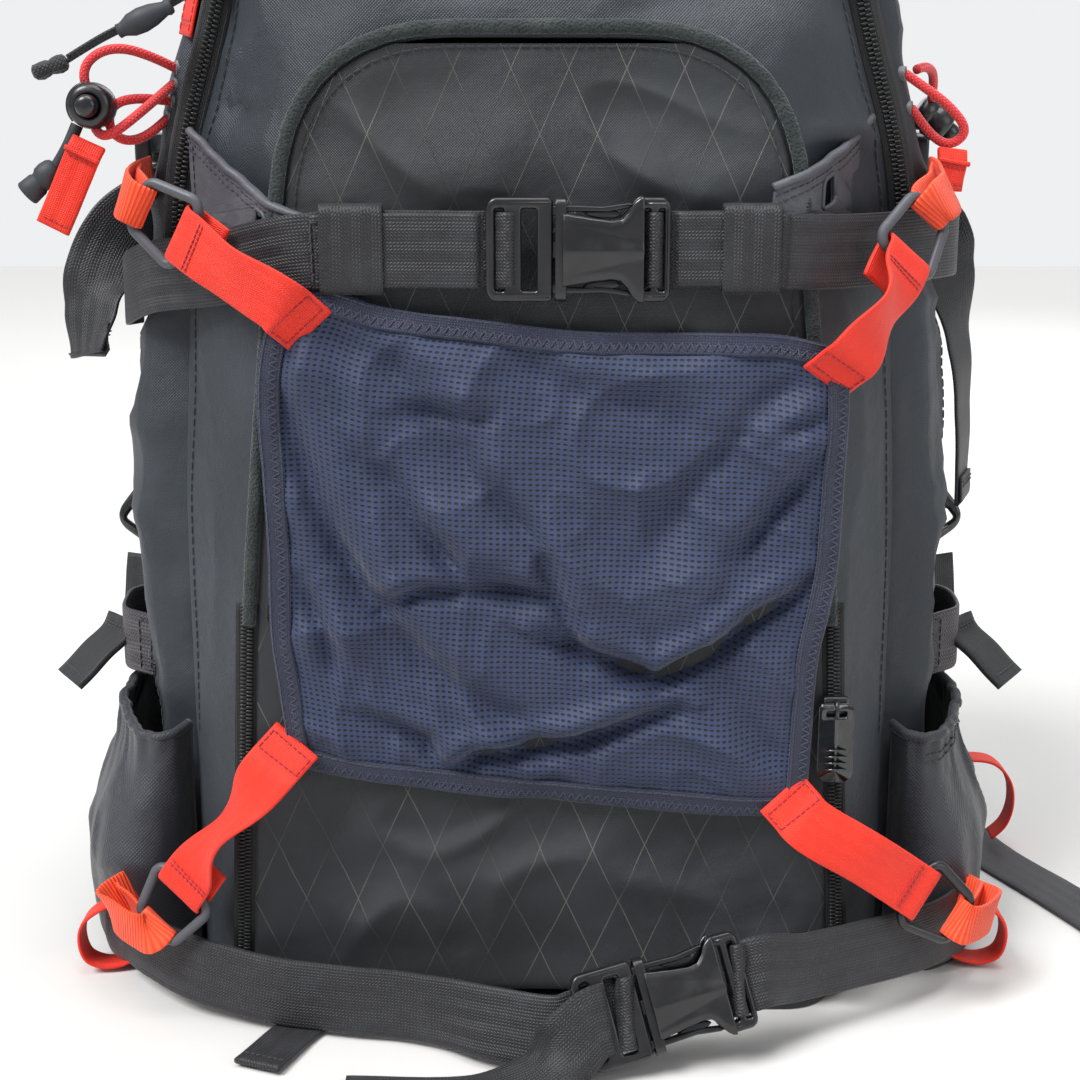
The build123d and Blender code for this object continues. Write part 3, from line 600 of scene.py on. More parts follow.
def tube(name, line, radius, material, sides=10):
    """A round tube through points in millimetres, closed at both ends."""
    verts, run = [], []
    normal, far = None, 0.0
    for i, here in enumerate(line):
        along = (line[min(i + 1, len(line) - 1)] - line[max(i - 1, 0)]).normalized()
        if normal is None:
            normal = along.orthogonal().normalized()
        normal = (normal - along * normal.dot(along)).normalized()
        other = along.cross(normal)
        if i:
            far += (here - line[i - 1]).length
        for j in range(sides):
            angle = 2 * math.pi * j / sides
            verts.append(here + normal * (radius * math.cos(angle)) + other * (radius * math.sin(angle)))
            run.append((far, radius * angle, 0))
    return outward(mesh_object(name, verts, ring_faces(sides, len(line)), material, run))


def stitches(name, pairs, material="thread", radius=0.32):
    """Thread: one small rounded rod for each pair of ends, narrowed at both ends."""
    verts, faces = [], []
    for a, b in pairs:
        a, b = Vector(a), Vector(b)
        along = b - a
        if along.length < 0.05:
            continue
        side = along.orthogonal().normalized()
        up = along.normalized().cross(side)
        first = len(verts)
        for t, r in ((-0.04, 0.45), (0.14, 1.0), (0.86, 1.0), (1.04, 0.45)):
            centre = a + along * t
            for j in range(5):
                angle = 2 * math.pi * j / 5
                verts.append(centre + (side * math.cos(angle) + up * math.sin(angle)) * (radius * r))
        for i in range(3):
            for j in range(5):
                k = (j + 1) % 5
                o = first + i * 5
                faces.append((o + j, o + k, o + 5 + k, o + 5 + j))
        faces.append(tuple(first + j for j in reversed(range(5))))
        faces.append(tuple(first + 15 + j for j in range(5)))
    return outward(mesh_object(name, verts, faces, material))


def seam_pairs(line, length=3.2, gap=0.9):
    """Ends of running stitches along a polyline."""
    total = length_of(line)
    count = max(1, int(total / (length + gap)))
    ends = evenly(line, count * 8 + 1)
    reach = int(round(8 * length / (length + gap)))
    return [(ends[i * 8], ends[i * 8 + reach]) for i in range(count)]


def zigzag_pairs(place, s0, s1, a0, a1, pitch=1.5):
    """Zigzag over a strip's face from s0 to s1, between a0 and a1 across."""
    count = max(2, int(abs(s1 - s0) / pitch))
    spots = [place(lerp(s0, s1, i / count), a0 if i % 2 else a1) for i in range(count + 1)]
    return list(zip(spots, spots[1:]))


def box_tack(strip, s0, s1):
    """A sewn box on a strip, 2.5 mm in from its edges."""
    w = strip.width / 2 - 2.5
    corners = [(s0, -w), (s1, -w), (s1, w), (s0, w), (s0, -w)]
    pairs = []
    for (sa, aa), (sb, ab) in zip(corners, corners[1:]):
        reach = math.hypot(sb - sa, ab - aa)
        spots = [strip.at(lerp(sa, sb, i / 12), lerp(aa, ab, i / 12)) for i in range(13)]
        if reach > 1:
            pairs += seam_pairs(spots, 2.4, 0.7)
    return pairs


def surface(name, place, nu, nv, material, thick=0.0, run=None):
    """A grid surface: place(u, v) in millimetres for u and v from 0 to 1."""
    verts, runs, faces = [], [], []
    for j in range(nv + 1):
        for i in range(nu + 1):
            u, v = i / nu, j / nv
            verts.append(Vector(place(u, v)))
            if run:
                runs.append(run(u, v))
    for j in range(nv):
        for i in range(nu):
            a = j * (nu + 1) + i
            faces.append((a, a + 1, a + nu + 2, a + nu + 1))
    obj = mesh_object(name, verts, faces, material, runs or None)
    if thick:
        modify(obj, "SOLIDIFY", thickness=thick * MM, offset=-1.0)
        apply_all(obj)
    return obj


def rounded_block(name, size, bevel, material):
    """A moulded block about the origin with rounded edges, in millimetres."""
    made = bmesh.new()
    bmesh.ops.create_cube(made, size=1.0)
    for v in made.verts:
        v.co = Vector((v.co.x * size[0], v.co.y * size[1], v.co.z * size[2]))
    bmesh.ops.bevel(made, geom=list(made.edges), offset=bevel, segments=3, profile=0.6,
                    affect="EDGES")
    mesh = bpy.data.meshes.new(name)
    for v in made.verts:
        v.co *= MM
    made.to_mesh(mesh)
    made.free()
    return add_object(name, mesh, material)


def plate(name, outline, thick, bevel, material, holes=()):
    """A flat moulding in the xz plane: an outline with holes, thick along y, edges rounded."""
    curve = bpy.data.curves.new(name, "CURVE")
    curve.dimensions = "2D"
    curve.fill_mode = "BOTH"
    curve.extrude = max(0.01, thick / 2 - bevel) * MM
    curve.bevel_depth = bevel * MM
    curve.bevel_resolution = 3
    curve.offset = -bevel * MM
    for loop in (outline, *holes):
        line = curve.splines.new("POLY")
        line.points.add(len(loop) - 1)
        for point, (x, z) in zip(line.points, loop):
            point.co = (x * MM, z * MM, 0, 1)
        line.use_cyclic_u = True
    shape = bpy.data.objects.new(name + "_outline", curve)
    bpy.context.scene.collection.objects.link(shape)
    graph = bpy.context.evaluated_depsgraph_get()
    graph.update()
    mesh = bpy.data.meshes.new_from_object(shape.evaluated_get(graph))
    bpy.data.objects.remove(shape)
    mesh.transform(Matrix.Rotation(math.radians(90), 4, "X"))
    made = bmesh.new()
    made.from_mesh(mesh)
    bmesh.ops.remove_doubles(made, verts=made.verts, dist=0.00002)
    bmesh.ops.recalc_face_normals(made, faces=made.faces)
    made.to_mesh(mesh)
    made.free()
    mesh.materials.clear()
    return add_object(name, mesh, material)


def round_corners(points, radius, steps=5, most=0.49):
    """A closed outline with its corners rounded."""
    out = []
    n = len(points)
    radii = radius if isinstance(radius, (list, tuple)) else [radius] * n
    for i, (x, z) in enumerate(points):
        here = Vector((x, z))
        before, after = Vector(points[i - 1]), Vector(points[(i + 1) % n])
        d1, d2 = (before - here), (after - here)
        reach = min(radii[i], d1.length * most, d2.length * most)
        a, b = here + d1.normalized() * reach, here + d2.normalized() * reach
        for k in range(steps + 1):
            t = k / steps
            out.append(tuple(a * (1 - t) ** 2 + here * (2 * t * (1 - t)) + b * t * t))
    return out


def put(obj, x_axis, y_axis, z_axis, origin, scale=1.0):
    """Moves a mesh built about the origin onto three axes at a place in millimetres."""
    axes = Matrix((x_axis, y_axis, z_axis)).transposed() * scale
    obj.data.transform(Matrix.Translation(Vector(origin) * MM) @ axes.to_4x4())
    return obj


# ----------------------------------------------------------- bag, in millimetres

# Height, half width at the front plane, half width at the sides, front, back
STATIONS = [
    (3, 139, 150, -50, 78), (180, 139, 150, -50, 78), (243, 135, 148, -50, 78),
    (306, 132, 140, -50, 78), (366, 116, 126, -50, 78), (420, 104, 114, -50, 78),
    (446, 98, 108, -50, 76), (478, 84, 94, -32, 66), (500, 58, 68, -8, 48),
]
ZIP_LINE = [(131, 3), (131, 186), (127, 242), (125, 306), (107, 363), (94, 432)]
POCKET_LINE = [(106, 6), (99, 158), (92, 230), (86.5, 280), (79, 350)]
ZIP_BEND, POCKET_BEND = 38, 50
POCKET_FACE = -92.0
SEAM_LEAN = 0.03
STRAP_HEIGHT = 262
CORNER_DEPTH, CORNER_BACK = 22.0, 14.0


def station(z):
    """Plan dimensions of the bag at a height."""
    z = min(max(z, STATIONS[0][0]), STATIONS[-1][0])
    for a, b in zip(STATIONS, STATIONS[1:]):
        if z <= b[0]:
            t = (z - a[0]) / (b[0] - a[0])
            return [lerp(p, q, t) for p, q in zip(a[1:], b[1:])]
    return list(STATIONS[-1][1:])


def chaikin(points, rounds=3):
    """Cuts the corners of a closed outline until it is smooth."""
    for _ in range(rounds):
        cut = []
        for a, b in zip(points, points[1:] + points[:1]):
            cut += [a.lerp(b, 0.22), a.lerp(b, 0.78)]
        points = cut
    return points


def arch(half, corner, count, grow=0.0):
    """A symmetric arch outline (x, z) from its lower right end to its lower left end."""
    right = [Vector((x + grow, z)) for x, z in half]
    right[-1].y += grow
    shoulder = [40, corner * 0.8] if len(half) > 5 else [12]
    radii = [0, 30, 30, *shoulder, corner + grow]
    outline = round_corners([tuple(p) for p in right] + [(-p.x, p.y) for p in reversed(right)],
                            radii + radii[::-1], 9, 0.49 if len(half) > 5 else 0.76)
    return evenly([Vector(p) for p in outline], count)


def body_ring(z, count):
    front_half, side_half, front, back = station(z)
    half = [(front_half, front), (side_half, front + CORNER_DEPTH), (side_half, back - CORNER_BACK),
            (side_half - CORNER_BACK, back)]
    points = [Vector(p) for p in half] + [Vector((-x, y)) for x, y in reversed(half)]
    points = chaikin(points)
    start = max(range(len(points)), key=lambda i: points[i].y - abs(points[i].x) * 0.01)
    points = points[start:] + points[:start] + [points[start]]
    return evenly(points, count + 1)[:-1]


def puff(x, y, z):
    """How far slack, lightly packed cloth stands off its pattern."""
    big = rumple(x, y, z * 0.8, 80, 1.7) * 5.0
    folds = creases(x * 0.7, y * 0.7, z * 1.6, 48, 4.1, 2.0) * 2.4
    upright = creases(x * 1.1, y * 1.1, z * 0.35, 30, 5.3, 2.0)
    folds += upright * 3.8 * smooth((z - 60) / 50) * smooth((290 - z) / 40)
    small = rumple(x, y, z * 1.5, 21, 2.2) * 0.7
    return big + folds - 1.7 + small


def build_body():
    """Sides, top and back of the bag, with the seams of its side panels."""
    around, levels, cap = 220, 120, 8
    base, top = STATIONS[0][0], STATIONS[-1][0]
    rings = []
    for j in range(levels + 1):
        v = j / levels
        z = lerp(base, top, 1 - (1 - v) ** 1.12)
        rings.append((z, 1.0, body_ring(z, around)))
    for j in range(1, cap + 1):
        t = j / cap
        rings.append((top + 5.5 * (1 - (1 - t) ** 2), 1 - t ** 1.3 * 0.995, rings[levels][2]))
    verts = []
    for z, share, ring in rings:
        middle = Vector((0, 20))
        foot = max(0.0, 1 - (z - base) / 12)
        for p in ring:
            q = middle + (p - middle) * share
            away = (p - Vector((0, min(max(p.y, -10), 45)))).normalized()
            side = smooth((abs(p.x) - 60) / 60) if p.y < 70 else 0.15
            lift = puff(p.x, p.y, z) * side
            lift += 3.0 * side * math.sin(math.pi * min(1, max(0, (z - base) / 440))) if share == 1 else 0
            # the side panel's seam runs up behind the front corner
            for seam, deep in ((-24, 1.8), (58, 1.5)):
                lift -= deep * math.exp(-((p.y - seam - (z - 180) * SEAM_LEAN) / 1.6) ** 2) * side
            # side compression straps pull the cloth in
            lift -= 2.4 * math.exp(-((z - STRAP_HEIGHT) / 12) ** 2) * side * (abs(p.x) > 100)
            lift -= 9 * foot * foot
            q = q + away * lift
            verts.append((q.x, q.y, z + (1.2 * rumple(q.x, q.y, z, 50, 6) if share < 1 else 0)))
    faces = ring_faces(around, len(rings), ends=False)
    faces.append(tuple((len(rings) - 1) * around + i for i in range(around)))
    obj = mesh_object("bag_body", verts, faces, "body")
    modify(obj, "SOLIDIFY", thickness=1.6 * MM, offset=-1.0)
    apply_all(obj)
    settle(obj, "pack", "body_cordura", "main_shell")


def side_seam_line(side, base_y, offset=0.8):
    """Where a side panel's seam lies on the outside of the bag."""
    line = []
    for k in range(60):
        z = lerp(12, 430, k / 59)
        front_half, side_half, front, _ = station(z)
        y = base_y + (z - 180) * SEAM_LEAN
        edge = front + CORNER_DEPTH
        x = side_half if y > edge else lerp(front_half, side_half, (y - front) / CORNER_DEPTH)
        p = Vector((side * x, y, z))
        away = Vector((side, 0, 0)) if y > edge else Vector((side * 0.9, -0.43, 0))
        lift = puff(p.x, p.y, z) + 3.0 * math.sin(math.pi * (z - 3) / 440) - 1.6
        lift -= 2.4 * math.exp(-((z - STRAP_HEIGHT) / 12) ** 2)
        line.append(p + away * (lift + offset))
    return line


def build_seams():
    """Double rows of thread beside the side panels' seams."""
    pairs = []
    for side in (-1, 1):
        for y in (-20.5, 61.0):
            line = on_cover(bpy.data.objects["bag_body"], side_seam_line(side, y), 0.25)
            pairs += seam_pairs(line, 3.0, 1.0)
    obj = stitches("side_seam_thread", pairs)
    settle(obj, "pack", "black_webbing")


def front_place(u, v, outer, inner):
    """The front panel: u along the arch, v from the main zip in to the pocket."""
    f = u * (len(outer) - 1)
    i = min(int(f), len(outer) - 2)
    a = outer[i].lerp(outer[i + 1], f - i)
    b = inner[i].lerp(inner[i + 1], f - i)
    turn = v * math.pi / 2
    lateral = lerp(v, 1 - math.cos(turn), 0.3)
    depth = lerp(v, math.sin(turn), 0.3)
    p = a.lerp(b, lateral)
    y = lerp(-50, POCKET_FACE + 1.5, depth)
    slack = math.sin(math.pi * v)
    lift = (rumple(p.x, y, p.y, 42, 8.2) * 1.7 + creases(p.x, y, p.y * 0.5, 34, 9.1, 2) * 1.5 - 0.6) * slack
    # the cloth above the straps is slack, so its folds are deeper
    deep = 11 * rumple(p.x, 5, p.y * 1.3, 48, 14.6) + 5 * creases(p.x * 0.6, 2, p.y, 30, 15.3, 2) - 2
    lift += smooth((p.y - 285) / 40) * slack * deep
    # the upper strap presses a hollow across each side
    strap = 282 if p.x > 0 else 274
    lift -= 2.2 * math.exp(-((p.y - strap) / 15) ** 2) * slack * (abs(p.x) > 60)
    foot = max(0.0, 1 - (p.y - 3) / 12)
    y += 7 * foot * foot * v
    out = Vector((math.copysign(0.6, p.x) if p.y < 330 else 0, -0.75, 0.6 if p.y > 330 else 0)).normalized()
    return Vector((p.x, y, p.y)) + out * lift


def build_front():
    count = 181
    outer, inner = arch(ZIP_LINE, ZIP_BEND, count), arch(POCKET_LINE, POCKET_BEND, count)
    obj = surface("front_panel_cloth", lambda u, v: front_place(u, v, outer, inner), 300, 26, "body", 1.6)
    settle(outward(obj), "pack", "body_cordura", "front_panel")
    # thread just inside the main zip
    line = [front_place(u / 300, 0.13, outer, inner) + Vector((0, -0.9, 0)) for u in range(28, 273)]
    thread = stitches("front_seam_thread", seam_pairs(line, 3.0, 1.0))
    settle(thread, "pack", "black_webbing")


def pocket_half(z):
    """Half width of the pocket cover at a height."""
    outline = pocket_half.outline
    for a, b in zip(outline, outline[1:]):
        if b.y >= z:
            return lerp(a.x, b.x, (z - a.y) / max(1e-6, b.y - a.y))
    return outline[-1].x


def pocket_place(x, z):
    half = pocket_half(min(z, 347.5))
    inside = max(0.0, 1 - (abs(x) / max(1, half)) ** 4) * min(1, (z - 3) / 30) * min(1, (350 - z) / 25)
    crown = 1.6 * inside
    waves = rumple(x, 0, z, 60, 11.3) * 1.3 + (creases(x + z * 0.3, 0, z - x * 0.4, 42, 12.7, 2) - 0.5) * 1.2
    upper, lower = smooth((z - 288) / 28), smooth((100 - z) / 30)
    waves += upper * (13 * rumple(x, 3, z * 1.2, 46, 21.4)
                      + 5 * creases(x * 0.8 + z * 0.5, 0, z - x * 0.2, 38, 22.6, 2) - 2)
    waves += lower * (9 * rumple(x, 7, z, 48, 25.2)
                      + 4.4 * creases(x - z * 0.6, 1, z + x * 0.2, 40, 26.1, 2) - 1.8)
    # slack under the strap keepers and the buckle
    waves -= 1.0 * math.exp(-((z - 282) / 16) ** 2)
    foot = max(0.0, 1 - (z - 6) / 12)
    return Vector((x, POCKET_FACE - crown - waves * inside * 0.8 + 7 * foot * foot, z))


def build_pocket():
    pocket_half.outline = arch(POCKET_LINE, POCKET_BEND, 401)[:201]

    def place(u, v):
        z = lerp(6, 347.9, 1 - (1 - v) ** 1.5)
        return pocket_place((2 * u - 1) * pocket_half(z), z)
    obj = surface("pocket_cover_cloth", place, 130, 170, "grid", 1.4)
    settle(outward(obj), "pack", "grid_fabric", "pocket_cover")

    # the welt over the zip's arch, and thread along its inner side
    middle = POCKET_FACE - 0.6
    edge = [Vector((p.x, middle, p.y)) for p in arch(POCKET_LINE, POCKET_BEND, 361, 3.3) if p.y > 150]
    welt = tube("pocket_welt", edge, 2.5, "piping", 14)
    for v in welt.data.vertices:  # flatter than it is round
        v.co.y = middle * MM + (v.co.y - middle * MM) * 0.72
    settle(welt, "pack", "piping", "pocket_piping")
    inner = [pocket_place(p.x, p.y) + Vector((0, -0.35, 0)) for p in arch(POCKET_LINE, POCKET_BEND, 361, -3.0)
             if p.y > 150]
    thread = stitches("pocket_arch_thread", seam_pairs(inner, 2.6, 0.9))
    settle(thread, "pack", "black_webbing")


def zip_run(line, name, pieces, pitch):
    """Coil teeth along a line, facing forwards."""
    verts, faces = [], []
    count = int(length_of(line) / pitch)
    spots = evenly(line, count)
    for i, here in enumerate(spots):
        along = (spots[min(i + 1, count - 1)] - spots[max(i - 1, 0)]).normalized()
        normal = Vector((0, -1, 0))
        across = along.cross(normal).normalized()
        for side in (-1, 1):
            o = len(verts)
            mid = here + along * (pitch * 0.25 * side) + across * (side * 1.05) + normal * 0.7
            for dz in (-0.42, 0.42):
                for da, dn in ((-1.35, -0.5), (1.35, -0.5), (1.1, 0.55), (-1.1, 0.55)):
                    verts.append(mid + along * dz + across * da + normal * dn)
            faces += [(o, o + 1, o + 2, o + 3), (o + 7, o + 6, o + 5, o + 4), (o, o + 4, o + 5, o + 1),
                      (o + 1, o + 5, o + 6, o + 2), (o + 2, o + 6, o + 7, o + 3), (o + 3, o + 7, o + 4, o)]
    teeth = outward(mesh_object(name + "_teeth", verts, faces, "zip"))
    modify(teeth, "BEVEL", width=0.22 * MM, segments=1)
    apply_all(teeth)
    pieces.append(teeth)


def build_zips():
    pieces = []
    main = [Vector((p.x, -52.2, p.y)) for p in arch(ZIP_LINE, ZIP_BEND, 361, 3.6) if p.y > 264]
    zip_run(main, "main_zip", pieces, 1.7)
    legs = []
    for side in (-1, 1):
        (x0, z0), (x1, z1) = POCKET_LINE[:2]
        leg = [Vector((side * (lerp(x0, x1, (z - z0) / (z1 - z0)) + 3.8), POCKET_FACE - 0.2, z))
               for z in range(18, 160, 4)]
        legs.append(leg)
        zip_run(leg, "pocket_zip", pieces, 1.4)
    teeth = merge("zip_teeth", pieces)
    tape_objects = []
    # the main tape's sides follow the arch
    ring = []
    for i, p in enumerate(main):
        along = (main[min(i + 1, len(main) - 1)] - main[max(i - 1, 0)]).normalized()
        ring.append(along.cross(Vector((0, -1, 0))).normalized())
    verts, faces, run = [], [], []
    far = 0.0
    for i, (p, s) in enumerate(zip(main, ring)):
        far += (p - main[i - 1]).length if i else 0
        for a, y in ((-5.2, 0.6), (-4.0, 0.0), (-1.4, -0.1), (1.4, -0.1), (4.0, 0.0), (5.2, 0.6)):
            verts.append(p + s * a + Vector((0, y + 0.2, 0)))
            run.append((far, a, 0))
    for i in range(len(main) - 1):
        for j in range(5):
            o = i * 6 + j
            faces.append((o, o + 1, o + 7, o + 6))
    tape = mesh_object("main_zip_tape", verts, faces, "tape", run)
    modify(tape, "SOLIDIFY", thickness=0.9 * MM, offset=0)
    tape_objects.append(apply_all(tape))
    for leg in legs:
        strip = Strip([leg[0], leg[-1]], (1, 0, 0), 8.4, 1.0, step=4, ripple=0.05)
        for i in range(len(strip.line)):
            strip.line[i] = strip.line[i] + Vector((0, 0.9, 0))
        tape_objects.append(strip.build("leg_tape", "tape"))
    tape = merge("zip_tapes", tape_objects)
    settle(outward(teeth), "pack", "zip_tape", "zip_chains")
    settle(outward(tape), "pack", "zip_tape")


# ---------------------------------------------------------- side-release buckles

def mirror_z(points):
    """A closed outline from its upper half, listed from left to right."""
    return points + [(x, -z) for x, z in reversed(points)]


def socket_mesh(name):
    """Female half about its centre: hollow collar, waisted body and webbing frame."""
    material = "black"
    waist = [(-4.6, 11.4), (0, 10.6), (6, 9.6), (11, 9.0), (14.5, 9.6), (17, 12.2), (18.8, 15.6),
             (20.5, 17.0), (22, 17.0)]

    def half(x):
        for (x0, z0), (x1, z1) in zip(waist, waist[1:]):
            if x <= x1:
                return lerp(z0, z1, smooth((x - x0) / (x1 - x0)) * 0.4 + 0.6 * (x - x0) / (x1 - x0))
        return waist[-1][1]
    pieces = []
    for face in (-1, 1):
        def place(u, v, face=face):
            x = lerp(-5.0, 21.6, u)
            t = 2 * v - 1
            h = half(max(x, -4.6))
            wedge = 1.5 * max(0.0, 1 - abs(t) * h / lerp(8.5, 2.0, u)) * (1 - u * 0.4)
            edge = -0.9 * smooth((abs(t) - 0.8) / 0.2)
            return Vector((x, face * (3.9 + wedge + edge * 0.8), t * h))
        shell = surface("shell", place, 40, 30, material)
        modify(shell, "SOLIDIFY", thickness=1.5 * MM, offset=1.0 if face < 0 else -1.0)
        pieces.append(outward(apply_all(shell)))
    # collar: a hollow rounded ring that the plug's arms go through
    ring_out = round_corners([(-17.0, -4.6), (17.0, -4.6), (17.0, 4.6), (-17.0, 4.6)], 3.4, 6)
    ring_in = round_corners([(-16.2, -3.2), (16.2, -3.2), (16.2, 3.2), (-16.2, 3.2)], 2.4, 6)
    collar = plate("collar", ring_out, 3.6, 0.35, material, [ring_in])
    put(collar, Vector((0, 0, 1)), Vector((1, 0, 0)), Vector((0, 1, 0)), (-5.7, 0, 0))
    pieces.append(collar)
    frame_out = round_corners(mirror_z([(19.0, 13.5), (20.5, 17.0), (28.5, 17.0), (30.5, 15.0)]), 1.6, 4)
    slots = [round_corners(mirror_z([(22.0, 13.4), (23.6, 13.4)]), 0.6, 3),
             round_corners(mirror_z([(26.6, 13.4), (28.4, 13.4)]), 0.6, 3)]
    pieces.append(plate("frame", frame_out, 6.0, 1.1, material, slots))
    return merge(name, pieces)


def plug_mesh(name):
    """Male half: webbing ladder, two spring arms and a guide between them."""
    material = "black"
    outline = round_corners(mirror_z([(-30.5, 14.0), (-28.5, 17.0), (-9.4, 17.0), (-8.2, 15.6)]), 1.8, 5)
    slots = [round_corners(mirror_z([(-27.4, 13.4), (-24.4, 13.4)]), 0.8, 3),
             round_corners(mirror_z([(-18.6, 13.4), (-13.6, 13.4)]), 0.8, 3)]
    pieces = [plate("ladder", outline, 6.0, 1.1, material, slots)]
    for side in (-1, 1):
        rail = [(-9.0, 14.2), (-2, 14.4), (8, 14.0), (16.6, 15.2), (18.2, 14.9), (17.2, 13.6), (9.5, 12.3),
                (-2, 12.4), (-9.0, 11.2)]
        knob = [(0.5, 13.0), (5, 13.2), (12.5, 12.6), (14.6, 11.4), (12.5, 10.2), (7, 10.1), (3.5, 10.9)]
        for k, shape in enumerate((rail, knob)):
            shape = [(x, side * z) for x, z in shape]
            shape = shape[::side]
            pieces.append(plate("arm", round_corners(shape, 0.9, 3), (4.2, 3.2)[k], 0.5, material))
    guide = [(-9, 2.6), (4, 2.2), (7, 1.4)]
    pieces.append(plate("guide", round_corners(mirror_z(guide), 0.5, 3), 3.6, 0.4, material))
    return merge(name, pieces)


def buckle_place(obj, origin, along, up, scale=1.0):
    """Puts a buckle half's x along the strap and its z across it."""
    along, up = Vector(along).normalized(), Vector(up)
    up = (up - along * up.dot(along)).normalized()
    return put(obj, along, up.cross(along), up, origin, scale)


LOWER_ALONG = Vector((0.95, 0.2, 0.2)).normalized()
LOWER_UP = Vector((0, 0.37, 0.93))
LOWER_ORIGIN = Vector((43, -130, 25))


def lower_local(x, y, z):
    """A place in the lower buckle's own axes."""
    up = (LOWER_UP - LOWER_ALONG * LOWER_UP.dot(LOWER_ALONG)).normalized()
    return LOWER_ORIGIN + LOWER_ALONG * x + up.cross(LOWER_ALONG) * y + up * z


def build_buckles():
    hip_right = Vector((236, -32, 1.2)) - Vector((222, 4, 1.2))
    hip_left = Vector((-120, 214, 1.2)) - Vector((-62, 217, 1.2))
    hip_right.normalize()
    hip_left.normalize()
    places = [
        ("upper_buckle_socket_shape", socket_mesh, (12.5, -101, 282), (1, 0, 0), UP, 1.0, "pack",
         "upper_buckle_socket"),
        ("upper_buckle_plug_shape", plug_mesh, (12.5, -101, 282), (1, 0, 0), UP, 1.0, "upper_plug",
         "upper_buckle_plug"),
        ("lower_buckle_socket_shape", socket_mesh, LOWER_ORIGIN, LOWER_ALONG, LOWER_UP, 1.0, "pack",
         "lower_buckle_socket"),
        ("lower_buckle_plug_shape", plug_mesh, LOWER_ORIGIN, LOWER_ALONG, LOWER_UP, 1.0, "lower_plug",
         "lower_buckle_plug"),
        ("sternum_socket_shape", socket_mesh, (0, 150, 338), (1, 0, 0), UP, 0.8, "pack",
         "sternum_socket"),
        ("sternum_plug_shape", plug_mesh, (0, 150, 338), (1, 0, 0), UP, 0.8, "sternum_plug",
         "sternum_plug"),
    ]
    for name, make, origin, along, above, scale, body, node in places:
        obj = buckle_place(make(name), origin, along, above, scale)
        settle(obj, body, "black_plastic", node)
    at = Vector((236, -32, 4.8)) + hip_right * 30.9
    plug = buckle_place(plug_mesh("hip_plug_shape"), at, hip_right, hip_right.cross(UP))
    at = Vector((-62, 217, 4.8)) - hip_left * 30.9
    socket = buckle_place(socket_mesh("hip_socket_shape"), at, hip_left, hip_left.cross(UP))
    settle(merge("hip_buckle_shapes", [plug, socket]), "pack", "black_plastic", "hip_buckle_halves")


# ------------------------------------------------------------- webbing on the front

def build_upper_straps():
    left = Strip([(-13.5, -98.4, 282), (-19, -99.9, 282), (-62, -98.4, 282), (-84, -98.6, 280.5),
                  (-112, -78.5, 273.5), (-139, -56.2, 268.5), (-152.2, -36, 262), (-153.2, -6, 259)],
                 UP, 25, 1.7, ripple=0.5, seed=1.0)
    left.build("upper_strap_left_cloth", "webbing")
    right = Strip([(39.5, -98.4, 282), (44, -99.9, 282), (62, -98.4, 282), (86, -98.8, 281),
                   (112, -78, 280), (139, -56, 280.5), (152, -36, 280.5), (153.2, -6, 280)],
                  UP, 25, 1.7, ripple=0.5, seed=2.0)
    right.build("upper_strap_right_cloth", "webbing")
    pieces = [bpy.data.objects["upper_strap_left_cloth"], bpy.data.objects["upper_strap_right_cloth"]]
    # webbing round the buckle's bars, and the folded layer beside them
    left_bar = Strip([(-15.5, -98.9, 282), (-12.0, -99.6, 282), (-9.4, -102.6, 282), (-9.2, -104.6, 282),
                      (-11.5, -105.0, 282), (-13.6, -103.2, 282), (-15.6, -99.4, 282)],
                     UP, 24.6, 1.5, step=0.9, ripple=0.0).build("left_bar", "webbing")
    right_bar = Strip([(36.0, -97.6, 282), (35.0, -100.4, 282), (36.6, -104.4, 282), (38.6, -104.6, 282),
                       (40.0, -102.0, 282), (41.5, -99.2, 282)], UP, 24.6, 1.5, step=0.9,
                      ripple=0.0).build("right_bar", "webbing")
    fold_left = Strip([(-20, -100.9, 281.4), (-50, -100.6, 281.6), (-76, -100.2, 281.0)], UP, 24.4, 1.4,
                      ripple=0.4, seed=3.0)
    fold_right = Strip([(45, -100.9, 282), (62, -100.4, 282), (82, -100.3, 281.4)], UP, 24.4, 1.4,
                       ripple=0.4, seed=4.0)
    strap_tacks = box_tack(fold_left, 52, 55.5) + box_tack(fold_right, 33, 36)
    left_parts = [pieces[0], left_bar, fold_left.build("fold_left", "webbing")]
    right_parts = [pieces[1], right_bar, fold_right.build("fold_right", "webbing")]
    left_cloth = merge("upper_strap_left_cloth", left_parts)
    right_cloth = merge("upper_strap_right_cloth", right_parts)
    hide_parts("upper_strap_left")
    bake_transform(left_cloth)
    settle(right_cloth, "pack", "black_webbing", "upper_strap_right")
    loops = []
    for x0, x1, z in ((-73, -52, 281.8), (60.5, 79.5, 281.9)):
        middle, w = (x0 + x1) / 2, x1 - x0
        route = [(middle, -95.6, z + 10), (middle, -96.4, z + 13.8), (middle, -98.6, z + 14.6),
                 (middle, -101.4, z + 13.2), (middle, -102.0, z + 8), (middle, -102.1, z),
                 (middle, -102.0, z - 8), (middle, -101.4, z - 13.2), (middle, -98.6, z - 14.6),
                 (middle, -96.4, z - 13.8), (middle, -95.6, z - 10)]
        strip = Strip(route, (-1, 0, 0), w, 1.1, step=1.2, ripple=0.1, seed=x0)
        loops.append(strip.build("keeper", "webbing"))
    settle(merge("strap_keeper_cloth", loops), "pack", "black_webbing", "strap_keepers")
    thread = stitches("upper_strap_thread", strap_tacks)
    settle(thread, "pack", "black_webbing")


